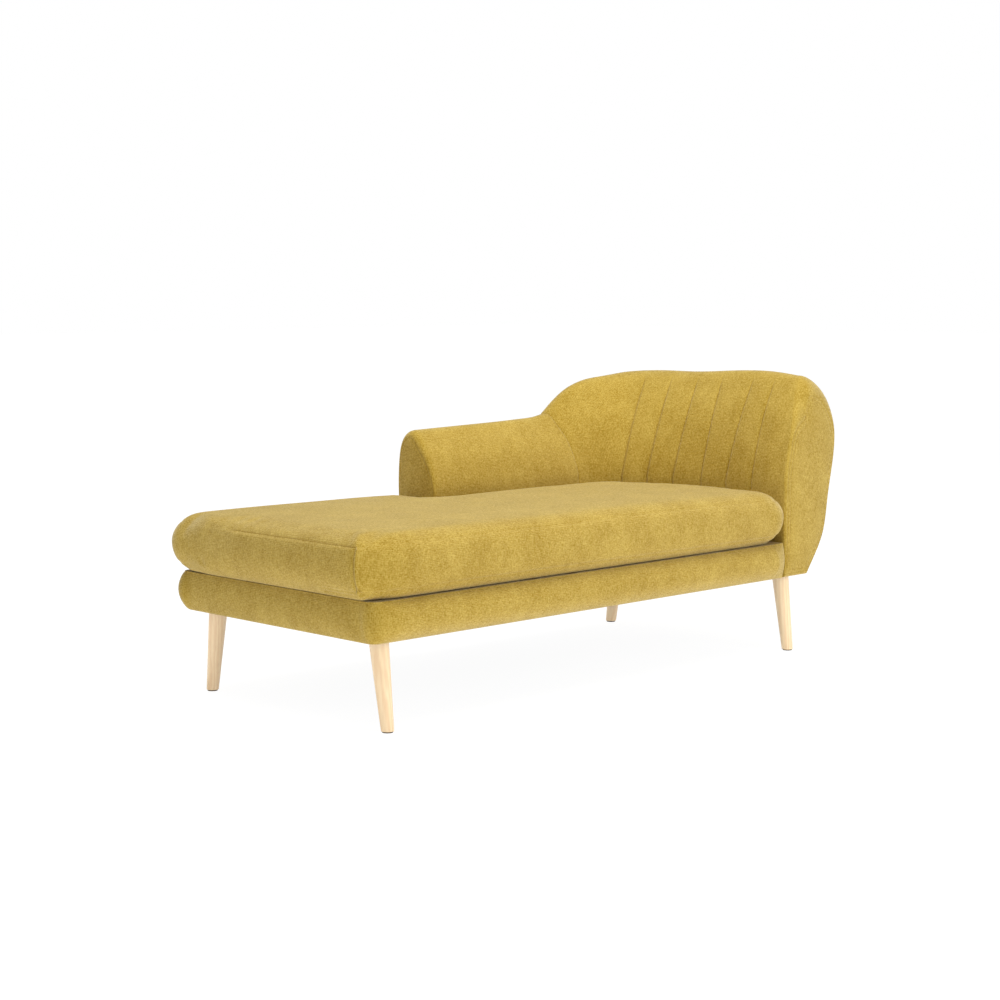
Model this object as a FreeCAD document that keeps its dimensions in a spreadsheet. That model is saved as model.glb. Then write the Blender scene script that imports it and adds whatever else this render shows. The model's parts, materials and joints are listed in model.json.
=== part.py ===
import FreeCAD, Part
import math
import os
import re

# Chaise longue with one arm and a curved, channelled back.
# X runs from the foot end to the back, Y from the open front side to the arm side, Z is up.
# The origin is on the floor, under the middle of the overall length and width.
# Lengths are millimetres and angles are degrees.

SIZES = {
    # base box, measured at its underside
    "base_length": 1509,
    "base_width": 668,
    "ground_gap": 199,
    "base_height": 92,
    "side_bulge": 27,
    "foot_bulge": 14,
    "top_flare": 8,
    # loose cushion
    "cushion_overhang": 52,
    "cushion_side_step": 39,
    "cushion_thick": 138,
    "cushion_corner": 66,
    "cushion_edge_round": 54,
    "cushion_notch_round": 8,
    "cushion_gap": 3,
    "wadding_thick": 6,
    # back
    "back_rake": 117,
    "back_foot_depth": 106,
    "back_face_step": 8,
    "back_rise": 436,
    "lean_step": 11,
    "seam_skew": 36,
    "tub_corner_radius": 133,
    "tub_sweep_radius": 713,
    "tub_turn": 60,
    "shell_corner_radius": 200,
    "rear_step": 11,
    "front_step": 2,
    # arm
    "arm_length": 531,
    "arm_thick": 142,
    "arm_seam_drop": 118,
    # timber frame
    "rail_inset": 14,
    "rail_thick": 25,
    "rail_height": 70,
    "board_thick": 25,
    "post_wide": 30,
    "post_deep": 45,
    "back_sill_width": 110,
    "shell_rail_setback": 80,
    "shell_rail_drop": 77,
    "shell_rail_side_gap": 30,
    "shell_rail_radius": 130,
    "arm_frame_drop": 182,
    "arm_frame_wide": 58,
    "arm_frame_end": 30,
    "panel_thick": 3,
    # soft layers and cloth
    "sheet_thick": 1.5,
    "cover_thick": 3,
    "dust_thick": 1.5,
    # legs
    "leg_inset": 54.5,
    "leg_foot_step": 19.4,
    "leg_splay": 8,
    "leg_top_radius": 22,
    "leg_bottom_radius": 14.25,
    "glide_radius": 12,
    "glide_thick": 3,
    "block_side": 68,
    "block_height": 42,
    "leg_clearance": 1,
    # fasteners
    "leg_bolt_radius": 4,
    "leg_bolt_in_leg": 40,
    "leg_bolt_in_block": 38,
    "nut_barrel_radius": 5.5,
    "nut_barrel_length": 9,
    "nut_flange_radius": 10,
    "nut_flange_thick": 1.5,
    "screw_radius": 2.5,
    "screw_length": 60,
    "screw_head_radius": 4.5,
    "screw_head_thick": 3,
    "sill_screw_radius": 4,
    "sill_screw_length": 75,
    "sill_screw_head_radius": 7,
    "sill_screw_head_thick": 5.5,
    # springs
    "spring_wire_radius": 1.9,
    "spring_pitch": 42,
    "spring_half_bar": 14,
    "spring_below_top": 14,
    "clip_wide": 20,
    "clip_deep": 9,
    "clip_high": 9,
    # zip on the cushion's rear side
    "zip_length": 500,
    "zip_from_foot": 120,
    "zip_wide": 24,
    "zip_thick": 1,
    "zip_coil_radius": 1.5,
    "slider_long": 12,
    "slider_wide": 9,
    "slider_thick": 4,
    "slider_home": 18,
    "slider_cut": 36,
    # clearances
    "fit_gap": 0.3,
    "foam_gap": 0.8,
    "drill_gap": 0.1,
}

# Places that several pieces share, each worked out from the sizes above.
PLACES = {
    "base_foot": "(cushion_overhang - base_length - back_rake) / 2",
    "base_head": "base_foot + base_length",
    "seat_end": "base_head - back_foot_depth",
    "back_face": "seat_end + back_face_step",
    "back_out": "base_head + back_rake",
    "base_half": "base_width / 2",
    "base_top": "ground_gap + base_height",
    "rear_face": "base_half + rear_step",
    "front_face": "base_half + front_step",
    "arm_inner": "rear_face - arm_thick",
    "arm_frame_inner": "base_half - rail_inset - arm_frame_wide",
    "cushion_half_width": "base_half + cushion_side_step",
    "leg_foot_half_width": "base_half - leg_foot_step",
    "back_height": "base_top + back_rise",
    "lean_start": "cushion_bottom + cushion_thick + lean_step",
    "core_foot": "base_foot + rail_inset",
    "core_head": "base_head - rail_inset",
    "core_half": "base_half - rail_inset",
    "core_inner": "core_half - rail_thick",
    "frame_bottom": "ground_gap + dust_thick",
    "frame_top": "frame_bottom + rail_height",
    "sill_top": "frame_top + board_thick",
    "seam_x": "back_face - tub_corner_radius * sin(tub_turn) - tub_sweep_radius * (1 - sin(tub_turn))",
    "arm_foot": "seam_x - arm_length",
    "arm_frame_foot": "arm_foot + arm_frame_end",
    "arm_frame_head": "seam_x - seam_skew",
    "arm_frame_top": "back_height - arm_frame_drop",
    "shell_rail_top": "back_height - shell_rail_drop",
    "shell_rail_out": "back_out - shell_rail_setback",
    "shell_rail_side": "rear_face - shell_rail_side_gap",
    "shell_rail_end": "shell_rail_out - shell_rail_radius - post_deep",
    "cushion_foot": "base_foot - cushion_overhang",
    "cushion_bottom": "base_top + fit_gap",
    "cushion_rear": "cushion_half_width - zip_thick - fit_gap - slider_thick",
    "spring_level": "frame_top - spring_below_top",
    "leg_top_half": "leg_foot_half_width - (frame_bottom - glide_thick) * tan(leg_splay)",
}

CORNERS = {
    "foot_front": (-1, -1),
    "foot_rear": (-1, 1),
    "head_front": (1, -1),
    "head_rear": (1, 1),
}
SCREW_LEVELS = (0.28, 0.72)
CROSS_RAIL_SHARES = (0.34, 0.62)
BACK_SCREW_SHARES = (-0.7, 0, 0.5)
ARM_SCREW_SHARES = (0.25, 0.55, 0.85)
SPRING_COUNT = 9
OVERRUN = 10
TINY = 1e-6
X_AXIS = FreeCAD.Vector(1, 0, 0)

doc = FreeCAD.newDocument("ChaiseLongue")
sheet = doc.addObject("Spreadsheet::Sheet", "Sizes")
for row, (name, value) in enumerate(SIZES.items(), start=1):
    sheet.set("A%d" % row, name)
    sheet.set("B%d" % row, str(value))
    sheet.setAlias("B%d" % row, name)
doc.recompute()


def tied(formula, spell_out=False):
    """A formula in plain size and place names, as an expression. Spelled out, it uses sizes alone."""
    def owner(match):
        word = match.group()
        if word in PLACES:
            return "(%s)" % tied(PLACES[word], True) if spell_out else "Places." + word
        return "Sizes." + word if word in SIZES else word
    return re.sub(r"[a-z][a-z_]*", owner, formula)


places = doc.addObject("App::FeaturePython", "Places")
for name, formula in PLACES.items():
    places.addProperty("App::PropertyFloat", name, "Places")
    places.setExpression(name, tied(formula, True))
doc.recompute()


class Read:
    """Gives sizes and places as attributes, read from the document."""
    def __getattr__(self, name):
        return float(sheet.get(name)) if name in SIZES else float(getattr(places, name))


at = Read()
nodes = []


def vec(x, y, z):
    return FreeCAD.Vector(x, y, z)


def keep(thing, label):
    """Marks an object as one of the separate pieces and names it."""
    thing.Label = label
    nodes.append(thing)
    return thing


def bind(thing, formulas):
    for prop, formula in formulas.items():
        thing.setExpression(prop, tied(str(formula)))
    return thing


def box(name, x, y, z, long, wide, high):
    """A board or block whose corner and three sides are bound to the sheet."""
    return bind(doc.addObject("Part::Box", name), {
        "Placement.Base.x": x, "Placement.Base.y": y, "Placement.Base.z": z,
        "Length": long, "Width": wide, "Height": high,
    })


def rod(name, radius, length, x, y, z, axis="z"):
    """A round bar that starts at x, y, z and runs along the given axis."""
    turn = {"z": (X_AXIS, 0), "y": (X_AXIS, -90), "x": (vec(0, 1, 0), 90)}[axis]
    thing = doc.addObject("Part::Cylinder", name)
    thing.Placement = FreeCAD.Placement(vec(0, 0, 0), FreeCAD.Rotation(*turn))
    return bind(thing, {
        "Radius": radius, "Height": length,
        "Placement.Base.x": x, "Placement.Base.y": y, "Placement.Base.z": z,
    })


def group(name, things):
    made = doc.addObject("Part::Compound", name)
    made.Links = things
    return made


def cut(name, base, tools):
    made = doc.addObject("Part::Cut", name)
    made.Base = base
    made.Tool = tools[0] if len(tools) == 1 else group(name + "_tools", tools)
    return made


def common(name, base, tool):
    made = doc.addObject("Part::Common", name)
    made.Base, made.Tool = base, tool
    return made


def freeform(name, shape):
    made = doc.addObject("Part::Feature", name)
    made.Shape = shape
    return made


def plain_box(low, high):
    return Part.makeBox(*(b - a for a, b in zip(low, high)), vec(*low))


# Timber base frame

def rail_screws():
    """Screws through the long rails into the ends of the rails between them, with their pilot holes."""
    screws, holes = [], []
    for side in (-1, 1):
        for index, x in enumerate(short_rail_centres()):
            for level in SCREW_LEVELS:
                tag = "%s_%d_%d" % ("front" if side < 0 else "rear", index, round(level * 100))
                z = "frame_bottom + rail_height * %s" % level
                y = "-core_half" if side < 0 else "core_half - screw_length"
                head_y = "-core_half" if side < 0 else "core_half - screw_head_thick"
                shank = rod("screw_" + tag, "screw_radius", "screw_length", x, y, z, "y")
                head = rod("screw_head_" + tag, "screw_head_radius", "screw_head_thick", x, head_y, z, "y")
                screw = doc.addObject("Part::Fuse", "screw_whole_" + tag)
                screw.Base, screw.Tool = shank, head
                screws.append(screw)
                holes.append(rod("pilot_" + tag, "screw_radius + drill_gap", "screw_length + drill_gap",
                                 x, y if side < 0 else y + " - drill_gap", z, "y"))
                sink_deep = "screw_head_thick + drill_gap"
                holes.append(rod("sink_" + tag, "screw_head_radius + drill_gap", sink_deep,
                                 x, head_y if side < 0 else head_y + " - drill_gap", z, "y"))
    return screws, holes


def short_rail_centres():
    """The X of the foot rail, the cross rails and the head rail."""
    span = "(core_head - core_foot)"
    inner = ["core_foot + %s * %s" % (span, share) for share in CROSS_RAIL_SHARES]
    return ["core_foot + rail_thick / 2", *inner, "core_head - rail_thick / 2"]


def sill_screws(name, spots):
    """Upright screws with recessed heads that hold a sill on the rail below, and their holes."""
    screws, holes = [], []
    for index, (x, y) in enumerate(spots):
        tag = "%s_%d" % (name, index)
        foot = "sill_top - sill_screw_length"
        head = "sill_top - sill_screw_head_thick"
        shank = rod(tag + "_shank", "sill_screw_radius", "sill_screw_length", x, y, foot)
        cap = rod(tag + "_cap", "sill_screw_head_radius", "sill_screw_head_thick", x, y, head)
        screw = doc.addObject("Part::Fuse", tag)
        screw.Base, screw.Tool = shank, cap
        screws.append(screw)
        holes.append(rod(tag + "_bore", "sill_screw_radius + drill_gap", "sill_screw_length + drill_gap",
                         x, y, foot + " - drill_gap"))
        holes.append(rod(tag + "_recess", "sill_screw_head_radius + drill_gap",
                         "sill_screw_head_thick + drill_gap", x, y, head + " - drill_gap"))
    keep(group(name, screws), name)
    return holes


def base_frame(arm_holes, back_holes):
    screws, holes = rail_screws()
    keep(group("frame_screws", screws), "frame_screws")
    long = "core_head - core_foot"
    for name, y, more in (("front_rail", "-core_half", []), ("rear_rail", "core_inner", arm_holes)):
        blank = box(name + "_blank", "core_foot", y, "frame_bottom", long, "rail_thick", "rail_height")
        keep(cut(name, blank, [*holes, *more]), name)
    names = ["foot_rail", "cross_rail_foot", "cross_rail_head", "head_rail"]
    for name, x in zip(names, short_rail_centres()):
        low = name.startswith("cross")
        high = "rail_height - spring_below_top * 2" if low else "rail_height"
        blank = box(name + "_blank", x + " - rail_thick / 2", "-core_inner", "frame_bottom",
                    "rail_thick", "core_inner * 2", high)
        keep(cut(name, blank, [*holes, *(back_holes if name == "head_rail" else [])]), name)


# Legs and what holds them

def leg_frames():
    """Each corner's name and the placement of its leg: on the frame's underside, Z up along the leg."""
    for name, (end, side) in CORNERS.items():
        x = at.base_foot + at.leg_inset if end < 0 else at.base_head - at.leg_inset
        spot = vec(x, side * at.leg_top_half, at.frame_bottom)
        yield name, end, side, FreeCAD.Placement(spot, FreeCAD.Rotation(X_AXIS, side * at.leg_splay))


def along_leg(name, kind, place, start, formulas):
    """A round piece on a leg's own axis, start millimetres above the frame's underside."""
    thing = doc.addObject(kind, name)
    thing.Placement = place.multiply(FreeCAD.Placement(vec(0, 0, start), FreeCAD.Rotation()))
    return bind(thing, formulas)


def legs():
    bolts, nuts, glides = [], [], []
    reach = at.frame_bottom / math.cos(math.radians(at.leg_splay))
    spread = (at.leg_top_radius - at.leg_bottom_radius) / reach
    for name, end, side, place in leg_frames():
        drill = {"Radius": "leg_bolt_radius + drill_gap", "Height": "leg_bolt_in_leg + block_height * 2"}
        hole = along_leg("leg_hole_" + name, "Part::Cylinder", place, -at.leg_bolt_in_leg, drill)
        taper = doc.addObject("Part::Cone", "leg_taper_" + name)
        taper.Placement = place.multiply(FreeCAD.Placement(vec(0, 0, -reach - OVERRUN), FreeCAD.Rotation()))
        taper.Radius1 = at.leg_bottom_radius - spread * OVERRUN
        taper.Radius2 = at.leg_top_radius + spread * OVERRUN
        taper.Height = reach + 2 * OVERRUN
        slab = box("leg_slab_" + name, "-base_length", "-base_width", "glide_thick",
                   "base_length * 2", "base_width * 2", "frame_bottom - glide_thick")
        keep(cut("leg_" + name, common("leg_trim_" + name, taper, slab), [hole]), "leg_" + name)

        foot_y = "leg_foot_half_width * %d" % side
        foot_x = "base_foot + leg_inset" if end < 0 else "base_head - leg_inset"
        glides.append(rod("glide_" + name, "glide_radius", "glide_thick", foot_x, foot_y, "0"))

        bolts.append(along_leg("bolt_" + name, "Part::Cylinder", place, -at.leg_bolt_in_leg, {
            "Radius": "leg_bolt_radius", "Height": "leg_bolt_in_leg + leg_bolt_in_block"}))
        seat = at.leg_bolt_in_block - at.nut_flange_thick
        barrel = along_leg("nut_barrel_" + name, "Part::Cylinder", place, seat - at.nut_barrel_length, {
            "Radius": "nut_barrel_radius", "Height": "nut_barrel_length + nut_flange_thick"})
        flange = along_leg("nut_flange_" + name, "Part::Cylinder", place, seat, {
            "Radius": "nut_flange_radius", "Height": "nut_flange_thick"})
        blank = doc.addObject("Part::Fuse", "nut_blank_" + name)
        blank.Base, blank.Tool = barrel, flange
        thread = along_leg("nut_bore_" + name, "Part::Cylinder", place, 0, {
            "Radius": "leg_bolt_radius + drill_gap / 2", "Height": "block_height * 2"})
        nuts.append(cut("nut_" + name, blank, [thread]))

        x = "core_foot + rail_thick" if end < 0 else "core_head - rail_thick - block_side"
        y = "-core_inner" if side < 0 else "core_inner - block_side"
        block = box("block_blank_" + name, x, y, "frame_bottom", "block_side", "block_side", "block_height")
        sink_start = seat - at.nut_barrel_length - at.drill_gap
        sink = along_leg("nut_sink_" + name, "Part::Cylinder", place, sink_start, {
            "Radius": "nut_barrel_radius + drill_gap", "Height": "block_height"})
        spot_face = along_leg("nut_face_" + name, "Part::Cylinder", place, seat, {
            "Radius": "nut_flange_radius + drill_gap", "Height": "block_height"})
        keep(cut("leg_block_" + name, block, [hole, sink, spot_face]), "leg_block_" + name)
    keep(group("leg_bolts", bolts), "leg_bolts")
    keep(group("leg_tee_nuts", nuts), "leg_tee_nuts")
    keep(group("leg_glides", glides), "leg_glides")


# Springs, deck and underside

def spring_xs():
    first = at.core_foot + at.rail_thick + at.block_side
    last = at.seat_end - at.rail_thick
    step = (last - first) / SPRING_COUNT
    return [first + step * (i + 0.5) for i in range(SPRING_COUNT)]


def wave_spring(x):
    """One wave spring: bars across, joined by half circles, on one level from front to rear clip."""
    half = at.spring_half_bar
    reach = at.core_inner - at.clip_deep / 2
    bars = int(2 * reach // at.spring_pitch) + 1
    pitch = 2 * reach / (bars - 1)
    z = at.spring_level
    edges = []
    for i in range(bars):
        y = -reach + i * pitch
        a, b = vec(x - half, y, z), vec(x + half, y, z)
        start, end = (a, b) if i % 2 == 0 else (b, a)
        edges.append(Part.LineSegment(start, end).toShape())
        if i < bars - 1:
            way = 1 if i % 2 == 0 else -1
            middle = vec(end.x + way * pitch / 2, y + pitch / 2, z)
            edges.append(Part.Arc(end, middle, vec(end.x, y + pitch, z)).toShape())
    path = Part.Wire(edges)
    ring = Part.Wire(Part.makeCircle(at.spring_wire_radius, edges[0].Vertexes[0].Point, X_AXIS))
    return path.makePipeShell([ring], True, False)


def springs():
    keep(freeform("seat_springs", Part.Compound([wave_spring(x) for x in spring_xs()])), "seat_springs")
    clips = []
    for x in spring_xs():
        for side in (-1, 1):
            y = at.core_inner * side - (at.clip_deep if side > 0 else 0)
            low = (x - at.clip_wide / 2, y, at.spring_level - at.clip_high / 2)
            high = (x + at.clip_wide / 2, y + at.clip_deep, at.spring_level + at.clip_high / 2)
            reach = (at.core_inner - at.clip_deep / 2) * side
            bore = Part.makeCylinder(at.spring_wire_radius + at.drill_gap, at.clip_wide * 2,
                                     vec(x - at.clip_wide, reach, at.spring_level), X_AXIS)
            clips.append(plain_box(low, high).cut(bore))
    keep(freeform("spring_clips", Part.Compound(clips)), "spring_clips")


def deck():
    """The layers over the springs: each is notched where the arm stands on the frame."""
    levels = {
        "spring_insulator": ("frame_top", "sheet_thick"),
        "deck_foam": ("frame_top + sheet_thick", "base_top - frame_top - sheet_thick * 2"),
        "deck_cloth": ("base_top - sheet_thick", "sheet_thick"),
    }
    for name, (z, high) in levels.items():
        whole = box(name + "_whole", "core_foot", "-core_half", z,
                    "seat_end - core_foot", "core_half * 2", high)
        notch = box(name + "_notch", "arm_foot - fit_gap", "arm_inner - fit_gap", z,
                    "base_length", "base_width", high)
        keep(cut(name, whole, [notch]), name)
    holes = []
    for name, end, side, place in leg_frames():
        holes.append(along_leg("dust_hole_" + name, "Part::Cylinder", place, -at.base_height / 2, {
            "Radius": "leg_top_radius + leg_clearance", "Height": "base_height"}))
    sheet_blank = box("dust_blank", "core_foot", "-core_half", "ground_gap",
                      "core_head - core_foot", "core_half * 2", "dust_thick")
    keep(cut("dust_cover", sheet_blank, holes), "dust_cover")


def crowned(low, high, bulge, flare):
    """A closed outline in a plane: flat below and above, bowed outwards at the ends it is given."""
    (a, b), (bottom, top) = low, high
    middle = (bottom + top) / 2
    right = Part.Arc(vec(b, 0, bottom), vec(b + bulge, 0, middle), vec(b + flare, 0, top)).toShape()
    left = Part.Arc(vec(a - flare, 0, top), vec(a - bulge, 0, middle), vec(a, 0, bottom)).toShape()
    floor = Part.LineSegment(vec(a, 0, bottom), vec(b, 0, bottom)).toShape()
    roof = Part.LineSegment(vec(b + flare, 0, top), vec(a - flare, 0, top)).toShape()
    return Part.Face(Part.Wire([floor, right, roof, left]))


def base_body(inset):
    """The base's crowned outside, moved in by inset at the sides and the foot end."""
    height = (at.ground_gap, at.base_top)
    half = at.base_half - inset
    across = crowned((-half, half), height, at.side_bulge, at.top_flare)
    across.rotate(vec(0, 0, 0), vec(0, 0, 1), 90)
    across.translate(vec(at.base_foot - at.base_width, 0, 0))
    along = crowned((at.base_foot + inset, at.seat_end + at.base_width), height, at.foot_bulge, at.top_flare)
    along.translate(vec(0, -at.base_width, 0))
    lengthwise = across.extrude(vec(at.seat_end - at.base_foot + at.base_width, 0, 0))
    return lengthwise.common(along.extrude(vec(0, 2 * at.base_width, 0)))


def base_skin():
    """Padding and cover on the base's front, foot and rear sides; the rear one stops at the arm."""
    far = at.base_length
    edge = at.core_half + at.fit_gap
    regions = {
        "front": ((-far, -far, 0), (at.seat_end, -edge, far)),
        "rear": ((-far, edge, 0), (at.arm_foot, far, far)),
        "foot": ((-far, -edge, 0), (at.core_foot - at.fit_gap, edge, far)),
    }
    outside = base_body(0)
    padding = base_body(at.cover_thick)
    skin = outside.cut(padding)
    stuffing = base_body(at.cover_thick + at.fit_gap)
    for name, (low, high) in regions.items():
        region = plain_box(low, high)
        keep(freeform("base_cover_" + name, skin.common(region)), "base_cover_" + name)
        keep(freeform("base_padding_" + name, stuffing.common(region)), "base_padding_" + name)


# Curved shell of the arm and back

def tub_point(angle, inset=0):
    """A plan point on the seat side of arm and back. Angle 0 is the arm's face and 90 the back's."""
    turn = math.radians(at.tub_turn)
    radius, x, y = at.tub_corner_radius, at.seam_x, at.arm_inner - at.tub_corner_radius
    if angle > at.tub_turn:
        shift = at.tub_corner_radius - at.tub_sweep_radius
        radius, x, y = at.tub_sweep_radius, x + shift * math.sin(turn), y + shift * math.cos(turn)
    a = math.radians(angle)
    out = radius + inset
    return vec(x + out * math.sin(a), y + out * math.cos(a), 0)


def shell_point(angle, slide=0):
    """A plan point on the outside. Slide runs back towards the arm, or on towards the front end."""
    radius = at.shell_corner_radius
    a = math.radians(angle)
    point = vec(at.back_out - radius + radius * math.sin(a), at.rear_face - radius + radius * math.cos(a), 0)
    return point - vec(slide * math.cos(a), slide * math.sin(a), 0)


# Each section of the shell: share of the width from the seat side to the outside, and share of the height.
INNER_SIDE = ((0, 0), (0.12, 0.30), (0.38, 0.62), (0.70, 0.86), (1, 1))
OUTER_SIDE = ((0, 1), (0.50, 0.95), (0.83, 0.79), (0.97, 0.58), (1, 0.40))
# Below the lean's start the heights are shares of its rise over the base's underside.
LOWER_OUTSIDE = ((0.22, 0.842), (0.41, 0.415), (0.74, 0.162), (1, 0))
LOWER_INSIDE = (0, 0.4, 0.72, 0.9)


def section_points(inner, outer, ridge, share):
    """The section as (distance, height) pairs: up the seat side to the ridge, and down the outside.

    The outside's lowest point lies on the base's rectangular outline."""
    width = (outer - inner).Length
    reach_x = (at.base_head - inner.x) / max(outer.x - inner.x, TINY)
    reach_y = (at.base_half - inner.y) / max(outer.y - inner.y, TINY)
    lean = 1 - min(reach_x, reach_y)
    low = at.lean_start - at.ground_gap
    rise = ridge - at.lean_start
    up = [(0, at.ground_gap + low * b) for b in LOWER_INSIDE]
    up += [(share * a, at.lean_start + rise * b) for a, b in INNER_SIDE]
    down = [(share + (1 - share) * a, at.lean_start + rise * b) for a, b in OUTER_SIDE]
    down += [(1 - a * lean, at.ground_gap + low * b) for a, b in LOWER_OUTSIDE]
    return [(a * width, z) for a, z in up], [(a * width, z) for a, z in down]


def moved_in(points, inset):
    """The outline's points, moved to its right by inset, with the two lowest kept on their level."""
    moved = []
    for i, (u, z) in enumerate(points):
        before, after = points[max(i - 1, 0)], points[min(i + 1, len(points) - 1)]
        du, dz = after[0] - before[0], after[1] - before[1]
        size = math.hypot(du, dz)
        low = i in (0, len(points) - 1)
        moved.append((u + inset * size / dz, z) if low else (u + inset * dz / size, z - inset * du / size))
    return moved


def section_curves(station, inset):
    """Two smooth edges of one upright section: the seat side and the outside, meeting at the ridge."""
    inner, outer, ridge, share = station
    up, down = section_points(inner, outer, ridge, share)
    across = (outer - inner).normalize()
    points = moved_in(up + down[1:], inset)

    def curve(part, ridge_index):
        line = Part.BSplineCurve()
        line.interpolate(Points=[inner + across * u + vec(0, 0, z) for u, z in part],
                         Tangents=[across] * len(part),
                         TangentFlags=[i == ridge_index for i in range(len(part))])
        return line.toShape()
    top = len(up)
    return curve(points[:top], top - 1), curve(points[top - 1:], 0)


def joined(edges):
    """A closed wire through edges that follow each other, with straight edges where they don't meet."""
    whole = []
    for i, edge in enumerate(edges):
        whole.append(edge)
        end = edge.lastVertex(True).Point
        start = edges[(i + 1) % len(edges)].firstVertex(True).Point
        if (end - start).Length > TINY:
            whole.append(Part.LineSegment(end, start).toShape())
    return Part.Wire(whole)


def back_to_front(edge):
    curve = edge.Curve.copy()
    curve.reverse()
    return curve.toShape()


def shell(stations, inset):
    """The solid inside the outline of the arm or the back, moved in by inset."""
    return Part.makeLoft([joined(section_curves(s, inset)) for s in stations], True, True)


def strip(stations, parts, inset=0):
    """A layer one cover thick, on the seat side (part 0), the outside (part 1) or both."""
    wires = []
    for station in stations:
        near, far = section_curves(station, inset), section_curves(station, inset + at.cover_thick)
        edges = [near[i] for i in parts] + [back_to_front(far[i]) for i in reversed(parts)]
        wires.append(joined(edges))
    return Part.makeLoft(wires, True, True)


SEAM_SHARE, BACK_SHARE = 0.72, 0.45
# Seat-side angle, outside angle and slide, drop below the back's height, ridge share.
BACK_STATIONS = (
    (15, 0, 209, 77, 0.72),
    (30, 0, 161, 47, 0.72),
    (45, 0, 89, 28, 0.72),
    (60, 24.7, 0, 13, 0.63),
    (63, 47, 0, 9, 0.57),
    (67, 70, 0, 7, 0.52),
    (72, 90, 5, 6, 0.49),
    (78, 90, 105, 6, 0.46),
    (84, 90, 205, 3, BACK_SHARE),
    (90, 90, 320, 0, BACK_SHARE),
)
# Distance from the end panel, and drop.
END_STATIONS = ((38, 6), (16, 16), (5, 28), (0, 38))
END_TUCK = 0.1
ARM_STATIONS = ((0, 140, 0.62), (0.3, 136, 0.64), (0.6, 132, 0.66), (0.85, 127, 0.69))
STEPS_BETWEEN = 4


def seam_station():
    """The section where the arm's cover meets the back's."""
    inner = tub_point(0)
    outer = vec(inner.x - at.seam_skew, at.rear_face, 0)
    return inner, outer, at.back_height - at.arm_seam_drop, SEAM_SHARE


def eased(stations):
    """The stations with more between each two of them, evenly spaced."""
    made = []
    for one, two in zip(stations, stations[1:]):
        for step in range(STEPS_BETWEEN):
            part = step / STEPS_BETWEEN
            made.append(tuple(a + (b - a) * part for a, b in zip(one, two)))
    return [*made, stations[-1]]


def back_stations(inset):
    seam = seam_station()
    rows = [(angle, out_angle, slide, at.back_height - drop, share)
            for angle, out_angle, slide, drop, share in BACK_STATIONS]
    made = [seam]
    for angle, out_angle, slide, ridge, share in eased(rows):
        made.append((tub_point(angle), shell_point(out_angle, slide), ridge, share))
    made[:2] = eased(made[:2])
    for step, drop in END_STATIONS:
        y = -at.front_face + at.cover_thick + inset + step
        outside = vec(at.back_out - drop * END_TUCK, y, 0)
        made.append((vec(at.back_face, y, 0), outside, at.back_height - drop, BACK_SHARE))
    return made


def arm_stations(inset):
    start = at.arm_foot + at.cover_thick + inset
    made = []
    for part, drop, share in ARM_STATIONS:
        x = start + (at.seam_x - start) * part
        made.append((vec(x, at.arm_inner, 0), vec(x, at.rear_face, 0), at.back_height - drop, share))
    return [*made, seam_station()]


def under_shell(gap):
    """What the arm and back stand on or against: the rails' box and the deck."""
    far = at.base_length
    rails = plain_box((-far, -at.core_half - gap, 0),
                      (at.core_head + gap, at.core_half + gap, at.frame_top + gap))
    on_deck = plain_box((-far, -at.core_half - gap, 0),
                        (at.seat_end + gap, at.arm_inner, at.base_top + gap))
    return rails.fuse(on_deck)


def band(width, gap=0):
    """Plan face of a board that follows the shell: from beside the arm, round the corner, to the front."""
    out, side = at.shell_rail_out + gap, at.shell_rail_side + gap
    radius = at.shell_rail_radius + gap
    inner = max(radius - width - 2 * gap, 1)
    cx, cy = out - radius, side - radius
    end, front = at.shell_rail_end - gap, -at.front_face + at.rail_thick - gap
    slant = math.sqrt(0.5)
    turn_middle = vec(cx + radius * slant, cy + radius * slant, 0)
    outer_arc = Part.Arc(vec(cx, side, 0), turn_middle, vec(out, cy, 0))
    inner_arc = Part.Arc(vec(cx + inner, cy, 0), vec(cx + inner * slant, cy + inner * slant, 0),
                         vec(cx, cy + inner, 0))
    points = [vec(end, cy + inner, 0), vec(end, side, 0), vec(cx, side, 0)]
    edges = [Part.LineSegment(a, b).toShape() for a, b in zip(points, points[1:])]
    edges.append(outer_arc.toShape())
    points = [vec(out, cy, 0), vec(out, front, 0), vec(cx + inner, front, 0), vec(cx + inner, cy, 0)]
    edges += [Part.LineSegment(a, b).toShape() for a, b in zip(points, points[1:])]
    edges.append(inner_arc.toShape())
    edges.append(Part.LineSegment(vec(cx, cy + inner, 0), vec(end, cy + inner, 0)).toShape())
    return Part.Face(Part.Wire(edges))


def board(width, bottom, top, gap=0):
    face = band(width, gap)
    face.translate(vec(0, 0, bottom))
    return face.extrude(vec(0, 0, top - bottom))


def end_panel(station, thick, way):
    """A flat panel over the open end of the arm or the back, as thick as the cover."""
    face = Part.Face(joined(section_curves(station, 0)))
    return face.extrude(way * thick)


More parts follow.
